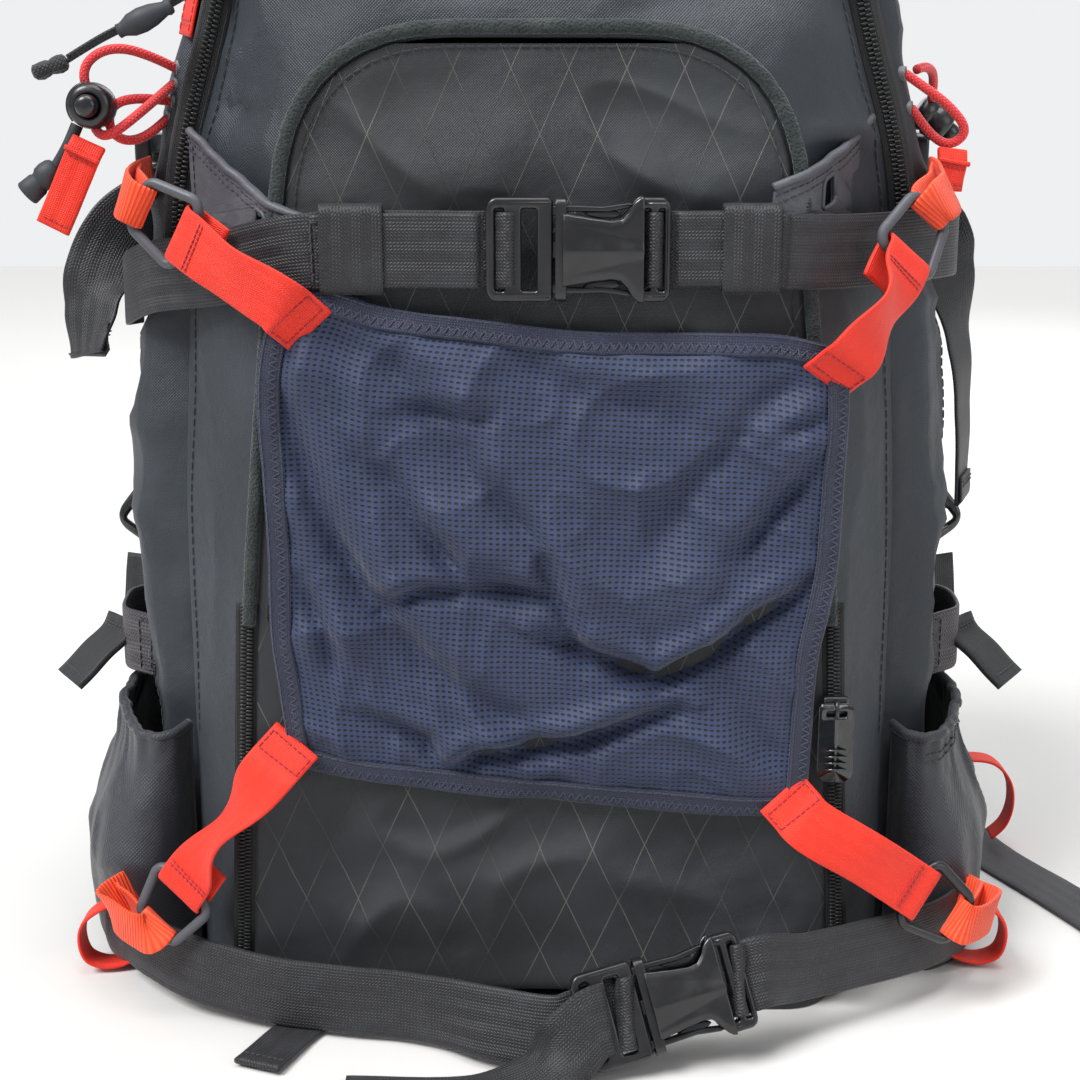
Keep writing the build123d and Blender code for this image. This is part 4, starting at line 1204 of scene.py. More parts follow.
def build_lower_straps():
    leaning, upright = tuple(LOWER_UP), (0, 0.1, 1)
    a, b = lower_local(-14.5, 2.2, 0), lower_local(-31, 0.6, 0)
    left = Strip([a, b, lower_local(-38, 0, 0), (-14, -130, 16), (-42, -116, 14.8), (-98, -104.6, 16),
                  (-132, -91, 19.5), (-148, -78, 21), (-160, -64, 22)],
                 [leaning] * 4 + [upright] * 5, 25, 1.7, ripple=0.7, seed=5.0)
    left_cloth = left.build("lower_strap_left_cloth", "webbing")
    c, d = lower_local(24.4, 2.0, 0), lower_local(31, 0.8, 0)
    right = Strip([c, d, lower_local(38, 0, 0), (92, -114, 29.5), (114, -101.6, 28), (148, -79.4, 26),
                   (161, -61, 24.4)], [leaning] * 3 + [upright] * 4, 25, 1.7, ripple=0.6, seed=6.0)
    right_cloth = right.build("lower_strap_right_cloth", "webbing")
    bars = []
    for x0, x1 in ((-17.0, -10.5), (24.6, 30.0)):
        m = (x0 + x1) / 2
        route = [lower_local(x0, 1.6, 0), lower_local(x0 + 1.2, -2.4, 0), lower_local(m, -3.9, 0),
                 lower_local(x1 - 1.2, -2.4, 0), lower_local(x1, 1.6, 0)]
        bars.append(Strip(route, leaning, 24.6, 1.5, step=0.9, ripple=0).build("bar", "webbing"))
    right_cloth = merge("lower_strap_right_cloth", [right_cloth, bars[1]])
    left_cloth = merge("lower_strap_left_cloth", [left_cloth, bars[0]])
    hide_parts("lower_strap_left")
    start, end = lower_local(-75, 0, 0) * MM, lower_local(-40, 0, 0) * MM
    tuple(start)
    tuple(end)
    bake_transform(left_cloth)
    settle(right_cloth, "pack", "black_webbing", "lower_strap_right")
    tail = Strip([lower_local(-20, -3.2, 0), lower_local(-26, -4.6, 0), lower_local(-33, -6.0, -3),
                  (-2, -150.5, 6.0), (-24, -152, 1.5), (-67, -152, 1.2)],
                 [leaning, leaning, leaning, (0, 0.9, 0.35), (0, 1, 0), (0, 1, 0)], 25, 1.6,
                 ripple=0.25, seed=7.0)
    settle(tail.build("lower_strap_tail_cloth", "webbing"), "lower_plug", "black_webbing",
           "lower_strap_tail")


# --------------------------------------------------------------- helmet mesh

MESH_TOP = [(-85, 267), (-67, 267.6), (-53, 262.6), (-38, 260.4), (-20, 258.4), (6, 255.2), (33, 254),
            (60, 254), (83, 253), (104, 248)]
MESH_BOTTOM = [(-89, 101), (-72, 96), (-50, 93), (-22, 89), (7, 87), (35, 84), (64, 81), (95, 81)]
MESH_LEFT = [(-85, 267), (-93, 252), (-96, 231), (-95, 204), (-94, 175), (-94, 147), (-91, 124), (-89, 101)]
MESH_RIGHT = [(104, 248), (105, 224), (104, 197), (103, 170), (98, 142), (96.4, 117), (95, 81)]
# Valleys in the slack cloth: depth, width, then the way each one runs
FOLDS = [
    (4.2, 8.0, [(-93, 245), (-85, 218), (-77, 197), (-61, 166), (-40, 138), (-3, 112)]),
    (3.2, 6.5, [(-60, 212), (-39, 186), (-28, 172), (2, 163)]),
    (2.8, 6.0, [(-17, 201), (0, 179), (10, 154), (14, 140)]),
    (5.2, 5.5, [(2, 148), (24, 139), (41, 132), (60, 142), (75, 154), (95, 166)]),
    (3.0, 4.5, [(-51, 161), (-44, 165), (0, 164)]),
    (4.6, 5.5, [(-30, 97), (-23, 103), (13, 109), (34, 117), (48, 121)]),
    (3.0, 6.0, [(66, 174), (81, 192), (95, 211)]),
    (2.0, 5.0, [(-46, 227), (-16, 226)]),
    (2.2, 5.0, [(82, 219), (98, 225)]),
    (2.6, 5.0, [(-84, 168), (-74, 148), (-73, 136)]),
    (2.8, 5.0, [(-60, 118), (-41, 109), (-34, 96)]),
    (2.4, 9.0, [(-82, 262), (-52, 243), (-26, 214), (-12, 190)]),
    (2.2, 9.0, [(102, 244), (74, 228), (52, 205), (36, 176)]),
    (2.4, 8.0, [(96, 88), (78, 108), (64, 128)]),
    (2.0, 10.0, [(-20, 256), (10, 236), (48, 226)]),
]


def fold_depth(x, z):
    """Depth of the folds at a place: a valley, with a crest beside it."""
    total = 0.0
    here = Vector((x, z))
    for deep, wide, way in FOLDS:
        best, where, side = 1e9, 0.0, 1.0
        steps = len(way) - 1
        for k in range(steps):
            a, b = Vector(way[k]), Vector(way[k + 1])
            ab = b - a
            t = min(1.0, max(0.0, (here - a).dot(ab) / ab.length_squared))
            gap = here - (a + ab * t)
            if gap.length < best:
                best, where = gap.length, (k + t) / steps
                side = 1.0 if ab.x * gap.y - ab.y * gap.x > 0 else -1.0
        if best < wide * 3.2:
            fade = math.sin(math.pi * min(1, max(0, 0.08 + 0.84 * where))) ** 0.7
            s = best * side / wide
            total += 2.0 * deep * fade * (math.exp(-s * s * 2.2) - 0.55 * math.exp(-((s - 1.5) ** 2) * 1.4))
    return total


def mesh_rim(u, v):
    """The panel's outline as a Coons patch of its four edges."""
    top, bottom, left, right = build_mesh.edges

    def on(line, t):
        f = t * (len(line) - 1)
        i = min(int(f), len(line) - 2)
        return line[i].lerp(line[i + 1], f - i)
    a, b, c, d = on(bottom, u), on(top, u), on(left, 1 - v), on(right, 1 - v)
    corners = (bottom[0] * (1 - u) + bottom[-1] * u) * (1 - v) + (top[0] * (1 - u) + top[-1] * u) * v
    return a * (1 - v) + b * v + c * (1 - u) + d * u - corners


def mesh_place(u, v):
    p = mesh_rim(u, v)
    edge = min(u * 200, (1 - u) * 200, v * 170, (1 - v) * 170)
    inside = smooth(edge / 16)
    fold = fold_depth(p.x, p.y)
    belly = 5.5 * math.sin(math.pi * u) * math.sin(math.pi * min(1, v * 0.9 + 0.02)) ** 0.8
    waves = rumple(p.x, 3, p.y, 38, 21.0) * 2.8 + rumple(p.x, 7, p.y, 15, 22.0) * 1.3
    waves -= 3.6 * creases(p.x * 0.8 + p.y * 0.5, 3, p.y - p.x * 0.45, 44, 24.0, 2.5) - 0.5
    waves -= 1.7 * creases(p.x * 0.9 + p.y * 0.6, 5, (p.y - p.x * 0.5) * 0.6, 21, 27.0, 3) - 0.4
    hem = rumple(u * 200, 2, v * 170, 17, 23.0) * 1.6 * (1 - inside)
    return Vector((p.x, -97.5 - belly * inside + (fold * 0.95 + waves) * inside + hem
                   - 1.2 * inside, p.y))


def build_mesh():
    build_mesh.edges = [[Vector((p.x, p.y)) for p in spline([(x, z, 0) for x, z in line], 60)]
                        for line in (MESH_TOP, MESH_BOTTOM, MESH_LEFT, MESH_RIGHT)]
    nu, nv = 150, 132
    obj = surface("helmet_mesh_cloth", mesh_place, nu, nv, "mesh",
                  run=lambda u, v: (u * 200, v * 172, 0))
    modify(obj, "SOLIDIFY", thickness=0.8 * MM, offset=-1.0)
    apply_all(obj)
    # hem: a folded band along each edge, with zigzag thread
    bands, pairs = [], []
    border = [(t / 50, 0) for t in range(51)], [(t / 50, 1) for t in range(51)], \
        [(0, t / 44) for t in range(45)], [(1, t / 44) for t in range(45)]
    for n, line in enumerate(border):
        inward = ((0, 0.022), (0, -0.022), (0.02, 0), (-0.02, 0))[n]
        mid, side = [], []
        for u, v in line:
            m = mesh_place(min(1, max(0, u + inward[0])), min(1, max(0, v + inward[1])))
            e = mesh_place(u, v)
            i = mesh_place(min(1, max(0, u + inward[0] * 2)), min(1, max(0, v + inward[1] * 2)))
            mid.append(m + Vector((0, -0.9, 0)))
            side.append((i - e).normalized())
        flip = 1 if n in (0, 3) else -1
        picked = sorted({*range(0, len(mid), 4), len(mid) - 1})
        strip = Strip([mid[k] for k in picked], [side[k] * flip for k in picked], 7.6, 1.2, step=2.0,
                      ripple=0.35, seed=n + 9.0)
        bands.append(strip.build("hem", "hem"))
        face = strip.at(strip.length / 2, 0, 0.5).y < strip.at(strip.length / 2, 0, -3.0).y
        lift = 0.15 if face else -strip.thick - 0.15
        pairs += zigzag_pairs(lambda s, a: strip.at(s, a, lift), 3, strip.length - 3, -2.6, 0.2, 1.5)
        spots = [strip.at(strip.length * k / 80, 3.0, lift) for k in range(81)]
        pairs += seam_pairs(spots, 2.2, 0.8)
    hem = merge("helmet_mesh_hem", bands)
    thread = stitches("helmet_mesh_thread", pairs, "thread_navy", 0.28)
    settle(obj, "pack", "navy_mesh", "helmet_mesh")
    settle(hem, "pack", "navy_mesh")
    settle(thread, "pack", "navy_mesh")


# ------------------------------------------------------- small shared shapes

def strap(points, side, width, thick=1.6, face=(0, -1, 0), **settings):
    """A Strip whose outer face looks the way of face."""
    made = Strip(points, side, width, thick, **settings)
    middle = made.normals[len(made.normals) // 2]
    if middle.dot(Vector(face)) < 0:
        many = isinstance(side[0], (tuple, Vector))
        flipped = [tuple(-Vector(s)) for s in side] if many else tuple(-Vector(side))
        made = Strip(points, flipped, width, thick, **settings)
    return made


def mirror(points, side):
    """Points of the right-hand side, or their mirror image for side -1."""
    return [(side * x, y, z) for x, y, z in points]


def lathe(name, profile, origin, axis, material, sides=28, wobble=0.0):
    """A turned piece: (distance along the axis, radius) pairs from end to end."""
    axis = Vector(axis).normalized()
    first = axis.orthogonal().normalized()
    other = axis.cross(first)
    verts, run = [], []
    for far, r in profile:
        for j in range(sides):
            angle = 2 * math.pi * j / sides
            spoke = first * math.cos(angle) + other * math.sin(angle)
            uneven = 1 + wobble * rumple(angle * 4, far, 1, 2.0, 5.0)
            verts.append(Vector(origin) + axis * far + spoke * (r * uneven))
            run.append((far, r * angle, 0))
    return outward(mesh_object(name, verts, ring_faces(sides, len(profile)), material, run))


def paint(node, material):
    """A better material on a CAD piece whose shape is kept."""
    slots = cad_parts[node].material_slots
    for place in slots:
        place.material = M[material]
    if not slots:
        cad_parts[node].data.materials.append(M[material])


# --------------------------------------------------- corner rings and their webbing

RINGS = {
    "upper_left": ((-119, -86.5, 285), (-86, 264), (-139, -41, 303)),
    "upper_right": ((123, -84.5, 277), (105, 247), (139, -41, 303)),
    "lower_left": ((-129, -94, 52), (-95, 101), (-152, -62, 40)),
    "lower_right": ((137, -94, 50), (95, 81), (158, -58, 34)),
}


def ring_axes(corner):
    """Bar of a corner ring, and its directions: away from the mesh, outwards, along the bar."""
    bar, (x, z), _ = RINGS[corner]
    bar, sewn = Vector(bar), Vector((x, -98, z))
    away = (bar - sewn).normalized()
    outer = Vector((math.copysign(0.45, x), -0.9, 0))
    normal = (outer - away * outer.dot(away)).normalized()
    return bar, away, normal, away.cross(normal)


def build_tabs():
    """Red webbing from the mesh to each ring, folded over the ring's bar and sewn."""
    parts, pairs = [], []
    for n, corner in enumerate(RINGS):
        bar, away, normal, along = ring_axes(corner)
        x, z = RINGS[corner][1]
        inward = Vector((-math.copysign(1, x), 0, -1 if z > 150 else 1)).normalized()
        sewn = Vector((x, -99.2, z))
        steps = [sewn + inward * 13, sewn + inward * 6 + Vector((0, -3.2, 0)), sewn + Vector((0, -6.5, 0)),
                 sewn.lerp(bar, 0.5) + normal * (4.6 + n % 2) + Vector((0, -2.0, 0)),
                 bar + normal * 3.4 - away * 2, bar + normal * 2.6 + away * 2.4, bar + away * 4.4,
                 bar - normal * 2.6 + away * 2.2,
                 bar - normal * 3.0 - away * 4, bar - normal * 2.0 - away * 12]
        turned = (along + normal * (0.24, -0.7, -1.5, -0.2)[n]).normalized()
        twist = [along] * 3 + [turned] + [along] * 6
        tab = strap(steps, twist, 20, 1.5, face=(0, -1, 0), step=1.6, ripple=0.5, seed=40.0 + n)
        parts.append(tab.build("tab", "red"))
        front = tab.normals[3].dot(Vector((0, -1, 0))) > 0
        lift = 0.15 if front else -tab.thick - 0.15
        for s in (3.0, 10.5):
            pairs += tab.row(s, 9, 1.6, 0.5, lift)
        for a in (-8.6, 8.6):
            spots = [tab.at(s, a, lift) for s in range(3, 12)]
            pairs += seam_pairs(spots, 1.6, 0.5)
        near_bar = tab.length - 30
        for s in (near_bar, near_bar + 1.6):
            pairs += tab.row(s, 9, 1.4, 0.4, lift)
    settle(merge("mesh_tab_webbing", parts), "pack", "red_webbing", "mesh_tabs")
    settle(stitches("mesh_tab_thread", pairs, "thread_red", 0.34), "pack", "red_webbing")


def build_anchor_loops():
    """Ribbed webbing from each side of the bag, round the far bar of its ring and back."""
    parts, pairs = [], []
    for n, corner in enumerate(RINGS):
        bar, away, normal, along = ring_axes(corner)
        anchor = Vector(RINGS[corner][2])
        end = bar + away * 21
        side = math.copysign(1, anchor.x)
        bulge = Vector((side * (13.0 if n > 1 else 6.0), -3.0, 0))
        front, back = end + normal * 3.4 + away * 2, end - normal * 3.4 + away * 2
        steps = [anchor + Vector((0, -2.2, 0)), anchor.lerp(front, 0.45) + bulge, front, end - away * 3.6,
                 back, anchor.lerp(back, 0.45) + bulge * 0.5 + Vector((side * 2, 4, 0)),
                 anchor + Vector((side * 1.0, 2.4, 0))]
        across = along if n % 2 == 0 else -along
        root = Vector((0, 0.2, 1)) if n < 2 else Vector((0, 0.5, 1))
        root = root if root.dot(across) > 0 else -root
        mid = (across + root * 0.7).normalized()
        loop = strap(steps, [root, mid, across, across, across, mid, root], 15, 1.5, face=(0, -1, 0),
                     step=1.4, ripple=0.3, seed=50.0 + n)
        parts.append(loop.build("loop", "orange"))
        for s in (3.0, 5.0):
            pairs += loop.row(s, 6, 1.4, 0.4)
    settle(merge("anchor_loop_webbing", parts), "pack", "orange_webbing", "anchor_loops")
    settle(stitches("anchor_loop_thread", pairs, "thread_red", 0.3), "pack", "orange_webbing")
    for corner in RINGS:
        paint("ring_" + corner, "black" if corner == "lower_right" else "grey")


WING_PLAN = {-1: [(-122, -55.5), (-113, -66), (-100, -80), (-89, -91.8), (-78, -95.6), (-70, -96.6)],
             1: [(116, -54), (108, -66), (99, -80), (89, -92), (80, -95.6), (70, -96.8)]}
WING_SHAPE = {-1: [(2, 288), (1, 321), (27, 308), (49, 297.5), (67, 291.5), (66, 284), (34, 279), (10, 281)],
              1: [(0, 286), (2, 325.5), (28, 315), (46, 308.6), (60, 303.4), (60, 290), (30, 284), (12, 283)]}
WING_SLOT = {-1: [(42, 284.5), (48, 283.5), (47, 293), (41, 295)],
             1: [(33, 296.5), (40, 294), (40, 304), (33, 306.5)]}


def build_wings():
    """Coated reinforcements bent round the front corners, with a slot and a rolled upper edge."""
    shapes, pairs = [], []
    for side in (-1, 1):
        plan = evenly(spline([Vector((x, y, 0)) for x, y in WING_PLAN[side]], 80), 121)
        total = length_of(plan)

        def on(u, z, lift=0.0):
            t = min(0.999, max(0.0, u / total)) * 120
            k = min(119, int(t))
            here = plan[k].lerp(plan[k + 1], t - k)
            run = (plan[k + 1] - plan[k]).normalized()
            out = Vector((run.y, -run.x, 0)) * (1 if run.cross(UP).y < 0 else -1)
            out = out if out.y < 0 else -out
            fold = 0.9 * math.sin(u * 0.21 + z * 0.05) + 0.5 * math.sin(u * 0.5 - z * 0.16)
            return here + out * (lift + 1.2 + fold * 0.5) + UP * z
        outline = round_corners(WING_SHAPE[side], [3, 7, 8, 8, 5, 4, 6, 6], 5)
        slot = round_corners(WING_SLOT[side], 2.0, 4)
        patch = plate("wing", outline, 1.6, 0.5, "patch", [slot])
        modify(patch, "SUBSURF", subdivision_type="SIMPLE", levels=2, render_levels=2)
        apply_all(patch)
        for v in patch.data.vertices:
            v.co = on(v.co.x / MM, v.co.z / MM, -v.co.y / MM) * MM
        shapes.append(outward(patch))
        top = [WING_SHAPE[side][k] for k in (1, 2, 3, 4)]

        def below(drop, count):
            return evenly(spline([Vector((a, c - drop, 0)) for a, c in top], 60), count)
        shapes.append(tube("rim", [on(p.x, p.y - 1.4, 0.5) for p in below(0, 60)], 1.5, "patch", 10))
        for drop in (4.4, 7.0):
            pairs += seam_pairs([on(p.x, p.y, 1.0) for p in below(drop, 80)], 2.2, 0.7)
        pairs += seam_pairs([on(4.0, z, 1.0) for z in range(288, 316)], 2.2, 0.7)
        lip = [on(u, z, 0.8) for u, z in slot]
        shapes.append(tube("lip", lip + [lip[0]], 0.8, "patch", 8))
    settle(merge("side_wing_patches", shapes), "pack", "coated_patch", "side_wings")
    settle(stitches("side_wing_thread", pairs, radius=0.26), "pack", "coated_patch")


# ----------------------------------------------------------- sides of the bag

POCKET_PLAN = [(134, -50.4), (139, -60), (150, -66), (162, -60), (170, -49), (176, -30), (178, -10),
               (179, 15), (178, 45), (174, 60), (165, 71), (151, 76)]


def pocket_top(y):
    """Height of a side pocket's mouth: it slopes up towards the back."""
    if y < 40:
        return lerp(96, 114, (y + 66) / 106)
    return lerp(114, 122, (y - 40) / 36)


def build_side_pockets():
    for side, name in ((1, "right"), (-1, "left")):
        plan = [Vector((p.x, p.y)) for p in spline([(x, y, 0) for x, y in POCKET_PLAN], 121)]

        def place(u, v, plan=plan, side=side):
            p = plan[min(120, int(round(u * 120)))]
            z = 1.2 + v * (pocket_top(p.y) - 1.2)
            away = (p - Vector((140, 5))).normalized()
            ends = min(1.0, u * 9, (1 - u) * 9)
            sag = 2.2 * math.sin(math.pi * min(1, v * 1.1))
            sag += creases(side * p.x, p.y, z * 0.6, 26, 31.0, 2) * 2.2
            sag += rumple(side * p.x * 2, p.y * 2.2, z * 0.5, 22, 33.0) * 1.6
            gathers = math.sin(u * 150 + 3 * rumple(u * 20, 1, 1, 3, 3)) * 0.6 * smooth((v - 0.75) / 0.25)
            foot = max(0.0, 1 - v * 7)
            neck = 17.0 * smooth((v - 0.45) / 0.55) * smooth(min(u, 1 - u) * 4)
            off = (sag - neck + gathers - 1.2) * ends - 7 * foot * foot * ends
            return Vector((side * (p.x + away.x * off), p.y + away.y * off, z))
        cloth = surface("wall", place, 120, 60, "pocket", 1.5)
        outward(cloth)
        base_u = [place(k / 120, 0) for k in range(121)]
        inner = [Vector((side * 149.6, min(75, max(-52, p.y)), 1.2)) for p in base_u]
        verts = base_u + inner
        faces = [(k, k + 1, 122 + k, 121 + k) for k in range(120)]
        floor = mesh_object("floor", verts, faces, "pocket")
        modify(floor, "SOLIDIFY", thickness=1.2 * MM, offset=-1)
        apply_all(floor)
        rim = [place(k / 60, 1.0) for k in range(61)]
        binding = tube("binding", spline([p + Vector((0, 0, 0.3)) for p in rim], 120), 2.0, "pocket", 10)
        body = merge("side_pocket_cloth_" + name, [cloth, outward(floor), binding])
        settle(body, "pack", "pocket_fabric", "side_pocket_" + name)
        pairs = []
        for down in (0.93, 0.9):
            line = [place(k / 60, down) + Vector((side * 0.5, 0, 0)) for k in range(2, 59)]
            pairs += seam_pairs(line, 2.6, 0.9)
        settle(stitches("side_pocket_thread_" + name, pairs), "pack", "pocket_fabric")


def build_side_straps():
    """Ladder buckles of the side straps, their tails and the loops for skis."""
    frames = []
    for side, y in ((1, 18), (-1, -10)):
        outline = round_corners([(-15, 291), (15, 291), (15, 318), (-15, 318)], 4, 6)
        holes = [round_corners([(-11, z), (11, z), (11, z + 4.5), (-11, z + 4.5)], 1.2, 3)
                 for z in (295, 306)]
        one = plate("frame", outline, 5.8, 1.2, "black", holes)
        put(one, Vector((0, 1, 0)), Vector((-side, 0, 0)), UP, (side * 146.1, y, 0))
        frames.append(outward(one))
        bar = tube("bar", spline([(side * 149.2, y - 11, 303.2), (side * 150.2, y, 303.2),
                                  (side * 149.2, y + 11, 303.2)], 14), 1.5, "black", 10)
        frames.append(bar)
    settle(merge("side_buckle_frames", frames), "pack", "black_plastic", "side_buckles")

    tails, pairs = [], []
    left = [(-148, 5.4, 294.4), (-151.6, 4, 291), (-162.5, -1, 281), (-169, -8, 266), (-171, -14, 252),
            (-172.5, -20, 236)]
    right = [(148.4, 15.4, 293), (151.2, 14, 288), (156, 12, 279), (160.5, 10, 264), (165, 8, 239),
             (168, 6, 211), (168.5, 5, 174)]
    twists = ([(0, 0.3, -0.95), (0, 0.3, -0.95), (0.35, 0.1, -0.9), (0.62, -0.2, -0.76),
               (0.7, -0.5, -0.3), (0.62, -0.78, 0)],
              [(0, 0.3, -0.95), (0, 0.3, -0.95), (-0.35, 0.1, -0.9), (-0.55, -0.4, -0.6),
               (-0.45, -0.8, -0.2), (-0.4, -0.9, 0), (-0.35, -0.94, 0)])
    for n, route in enumerate((left, right)):
        away = (-1 if n == 0 else 1, 0, 0)
        tail = strap(route, twists[n], 25, 1.7, face=away, ripple=0.6, seed=60.0 + n)
        tails.append(tail.build("tail", "webbing"))
        end = tail.length
        fold = [tail.at(end - s, 0, 0.7) for s in (11, 6, 1.5)] + [tail.at(end, 0, -0.8)]
        doubled = strap(fold, twists[n][-1], 25, 1.4, face=tail.normals[-1], ripple=0.1)
        tails.append(doubled.build("fold", "webbing"))
        for s in (end - 9, end - 7.4):
            pairs += tail.row(s, 11, 1.8, 0.5, 1.6)
    base = strap([(-86, -89.4, 1.8), (-86, -102, 1.6), (-91, -114, 1.6), (-99, -134, 2.6)],
                 [(1, 0, 0), (1, 0, 0), (0.96, -0.2, 0), (0.93, -0.37, 0)], 18, 2.2, face=(0, 0, 1),
                 ripple=0.3, seed=63)
    tails.append(base.build("base_tab", "webbing"))
    pairs += base.row(base.length - 5, 8, 1.6, 0.5, 0.1)
    settle(merge("strap_tail_webbing", tails), "pack", "black_webbing", "strap_tails")
    settle(stitches("strap_tail_thread", pairs), "pack", "black_webbing")

    loops, pairs = [], []
    for side in (1, -1):
        z = 121.5
        route = mirror([(150.9, -24, z), (157, -20, z + 0.4), (165.6, -11, z), (168.3, 4, z), (167.8, 18, z),
                        (161, 28, z - 0.4), (150.9, 34, z)], side)
        loop = strap(route, UP, 25, 1.8, face=(side, 0, 0), step=1.6, ripple=0.8, seed=66.0 + side)
        loops.append(loop.build("ski_loop", "loop"))
        pairs += box_tack(loop, 1.5, 7.5)
        tongue = mirror([(168.6, -1, 127), (171, -3, 121.4), (178, -8, 115.2), (184, -12.4, 108.6),
                         (188, -15, 104.8)], side)
        tab = strap(tongue, (side * 0.62, 0.75, 0.0), 22, 3.0, face=(side * 0.6, -0.3, 0.74),
                    step=1.6, ripple=0.3, seed=68.0 + side)
        loops.append(tab.build("pull", "webbing"))
        for s in (4.0, 5.6, tab.length - 4):
            pairs += tab.row(s, 9, 1.8, 0.5)
    settle(merge("ski_loop_webbing", loops), "pack", "black_webbing", "ski_loops")
    settle(stitches("ski_loop_thread", pairs), "pack", "black_webbing")


def build_tool_loops():
    """Narrow loops near the foot of the bag, and a strip beside the main zip."""
    parts, pairs = [], []
    for cx, cy, turn in ((-157, -54, -1), (160, -50, 1)):
        route = [(cx, cy, 26), (cx + 7 * turn, cy - 1.5, 28.4), (cx + 12.5 * turn, cy - 2, 26.6),
                 (cx + 19.5 * turn, cy - 2.6, 21), (cx + 21.2 * turn, cy - 3, 14),
                 (cx + 19 * turn, cy - 3, 6),
                 (cx + 13 * turn, cy - 2, 2.6), (cx + 7 * turn, cy - 1, 2.6), (cx + 1 * turn, cy, 4.6)]
        loop = strap(route, (0, 1, 0), 11, 1.3, face=(turn, 0, 0), step=1.2, ripple=0.3, seed=70.0 + turn)
        parts.append(loop.build("tool_loop", "red"))
        pairs += loop.row(4, 5, 1.2, 0.4, 0.12)
    rear = strap([(172, 62, 30), (180, 62, 38.6), (190, 61.6, 42.8), (203, 61, 41.6), (210.6, 61, 33),
                  (212.4, 61, 22), (209.6, 61.6, 12), (204, 62, 6)], (0, 1, 0), 11, 1.3, face=(0.5, 0, 1),
                 step=1.2, ripple=0.3, seed=73.0)
    parts.append(rear.build("rear_loop", "red"))
    settle(merge("tool_loop_webbing", parts), "pack", "orange_webbing", "tool_loops")
    settle(stitches("tool_loop_thread", pairs, "thread_red", 0.28), "pack", "orange_webbing")

    strip = strap([(-125.5, -39.6, 352), (-119.4, -39.8, 378), (-113.3, -39.6, 405)],
                  (-0.414, 0.91, 0), 17, 1.3,
                  face=(-0.8, -0.5, 0), ripple=0.2, seed=75.0)
    settle(strip.build("zip_strip_webbing", "red"), "pack", "red_webbing", "zip_strip")
    pairs = []
    for a in (-6.6, 6.6):
        pairs += seam_pairs([strip.at(s, a, 0.12) for s in range(2, int(strip.length) - 1)], 2.2, 0.8)
    for s in (4, 5.5):
        pairs += strip.row(s, 7, 1.6, 0.5, 0.12)
    settle(stitches("zip_strip_thread", pairs, "thread_red", 0.3), "pack", "red_webbing")


# -------------------------------------------------------- elastic cords and zip lace

MOUTHS = [(-0.1296, -0.0398, 0.341), (-0.1306, -0.0398, 0.3355), (-0.132, -0.0398, 0.3295),
          (-0.1334, -0.0398, 0.3235), (0.13, -0.0398, 0.339), (0.1328, -0.0398, 0.327)]
CORDS = {
    "shock_cord_left_loop": [MOUTHS[0], (-0.140, -0.049, 0.347), (-0.151, -0.055, 0.3475),
                             (-0.159, -0.056, 0.341), (-0.157, -0.056, 0.331), (-0.1555, -0.058, 0.320),
                             (-0.150, -0.0625, 0.317), (-0.1395, -0.0585, 0.325), MOUTHS[1]],
    "shock_cord_left_low_loop": [MOUTHS[2], (-0.140, -0.0465, 0.331), (-0.1495, -0.0545, 0.329),
                                 (-0.151, -0.056, 0.3205), (-0.146, -0.054, 0.3155),
                                 (-0.1385, -0.047, 0.3175), MOUTHS[3]],
    "shock_cord_right_loop": [MOUTHS[4], (0.136, -0.040, 0.335), (0.147, -0.037, 0.328),
                              (0.155, -0.034, 0.319), (0.149, -0.032, 0.3135), (0.141, -0.033, 0.3175),
                              MOUTHS[5]],
    "shock_cord_right_rear": [(0.1348, -0.035, 0.3405), (0.1395, -0.030, 0.3425), (0.145, -0.020, 0.338),
                              (0.1455, -0.011, 0.328)],
    "zip_lace": [(-0.1098, -0.0582, 0.371), (-0.116, -0.060, 0.367), (-0.1256, -0.061, 0.3614),
                 (-0.135, -0.0616, 0.357), (-0.1444, -0.062, 0.3526), (-0.1525, -0.0625, 0.3486),
                 (-0.1625, -0.063, 0.3426)],
}


def route_line(points, shift=(0, 0, 0)):
    """Points in millimetres along a route's smooth NURBS spline."""
    curve = bpy.data.curves.new("route", "CURVE")
    curve.dimensions = "3D"
    curve.resolution_u = 14
    line = curve.splines.new("NURBS")
    line.points.add(len(points) - 1)
    for point, place in zip(line.points, points):
        point.co = (*(Vector(place) + Vector(shift)), 1)
    line.order_u = 3
    line.use_endpoint_u = True
    shape = bpy.data.objects.new("route", curve)
    bpy.context.scene.collection.objects.link(shape)
    graph = bpy.context.evaluated_depsgraph_get()
    graph.update()
    mesh = bpy.data.meshes.new_from_object(shape.evaluated_get(graph))
    places = [v.co / MM for v in mesh.vertices]
    bpy.data.objects.remove(shape)
    bpy.data.meshes.remove(mesh)
    return places


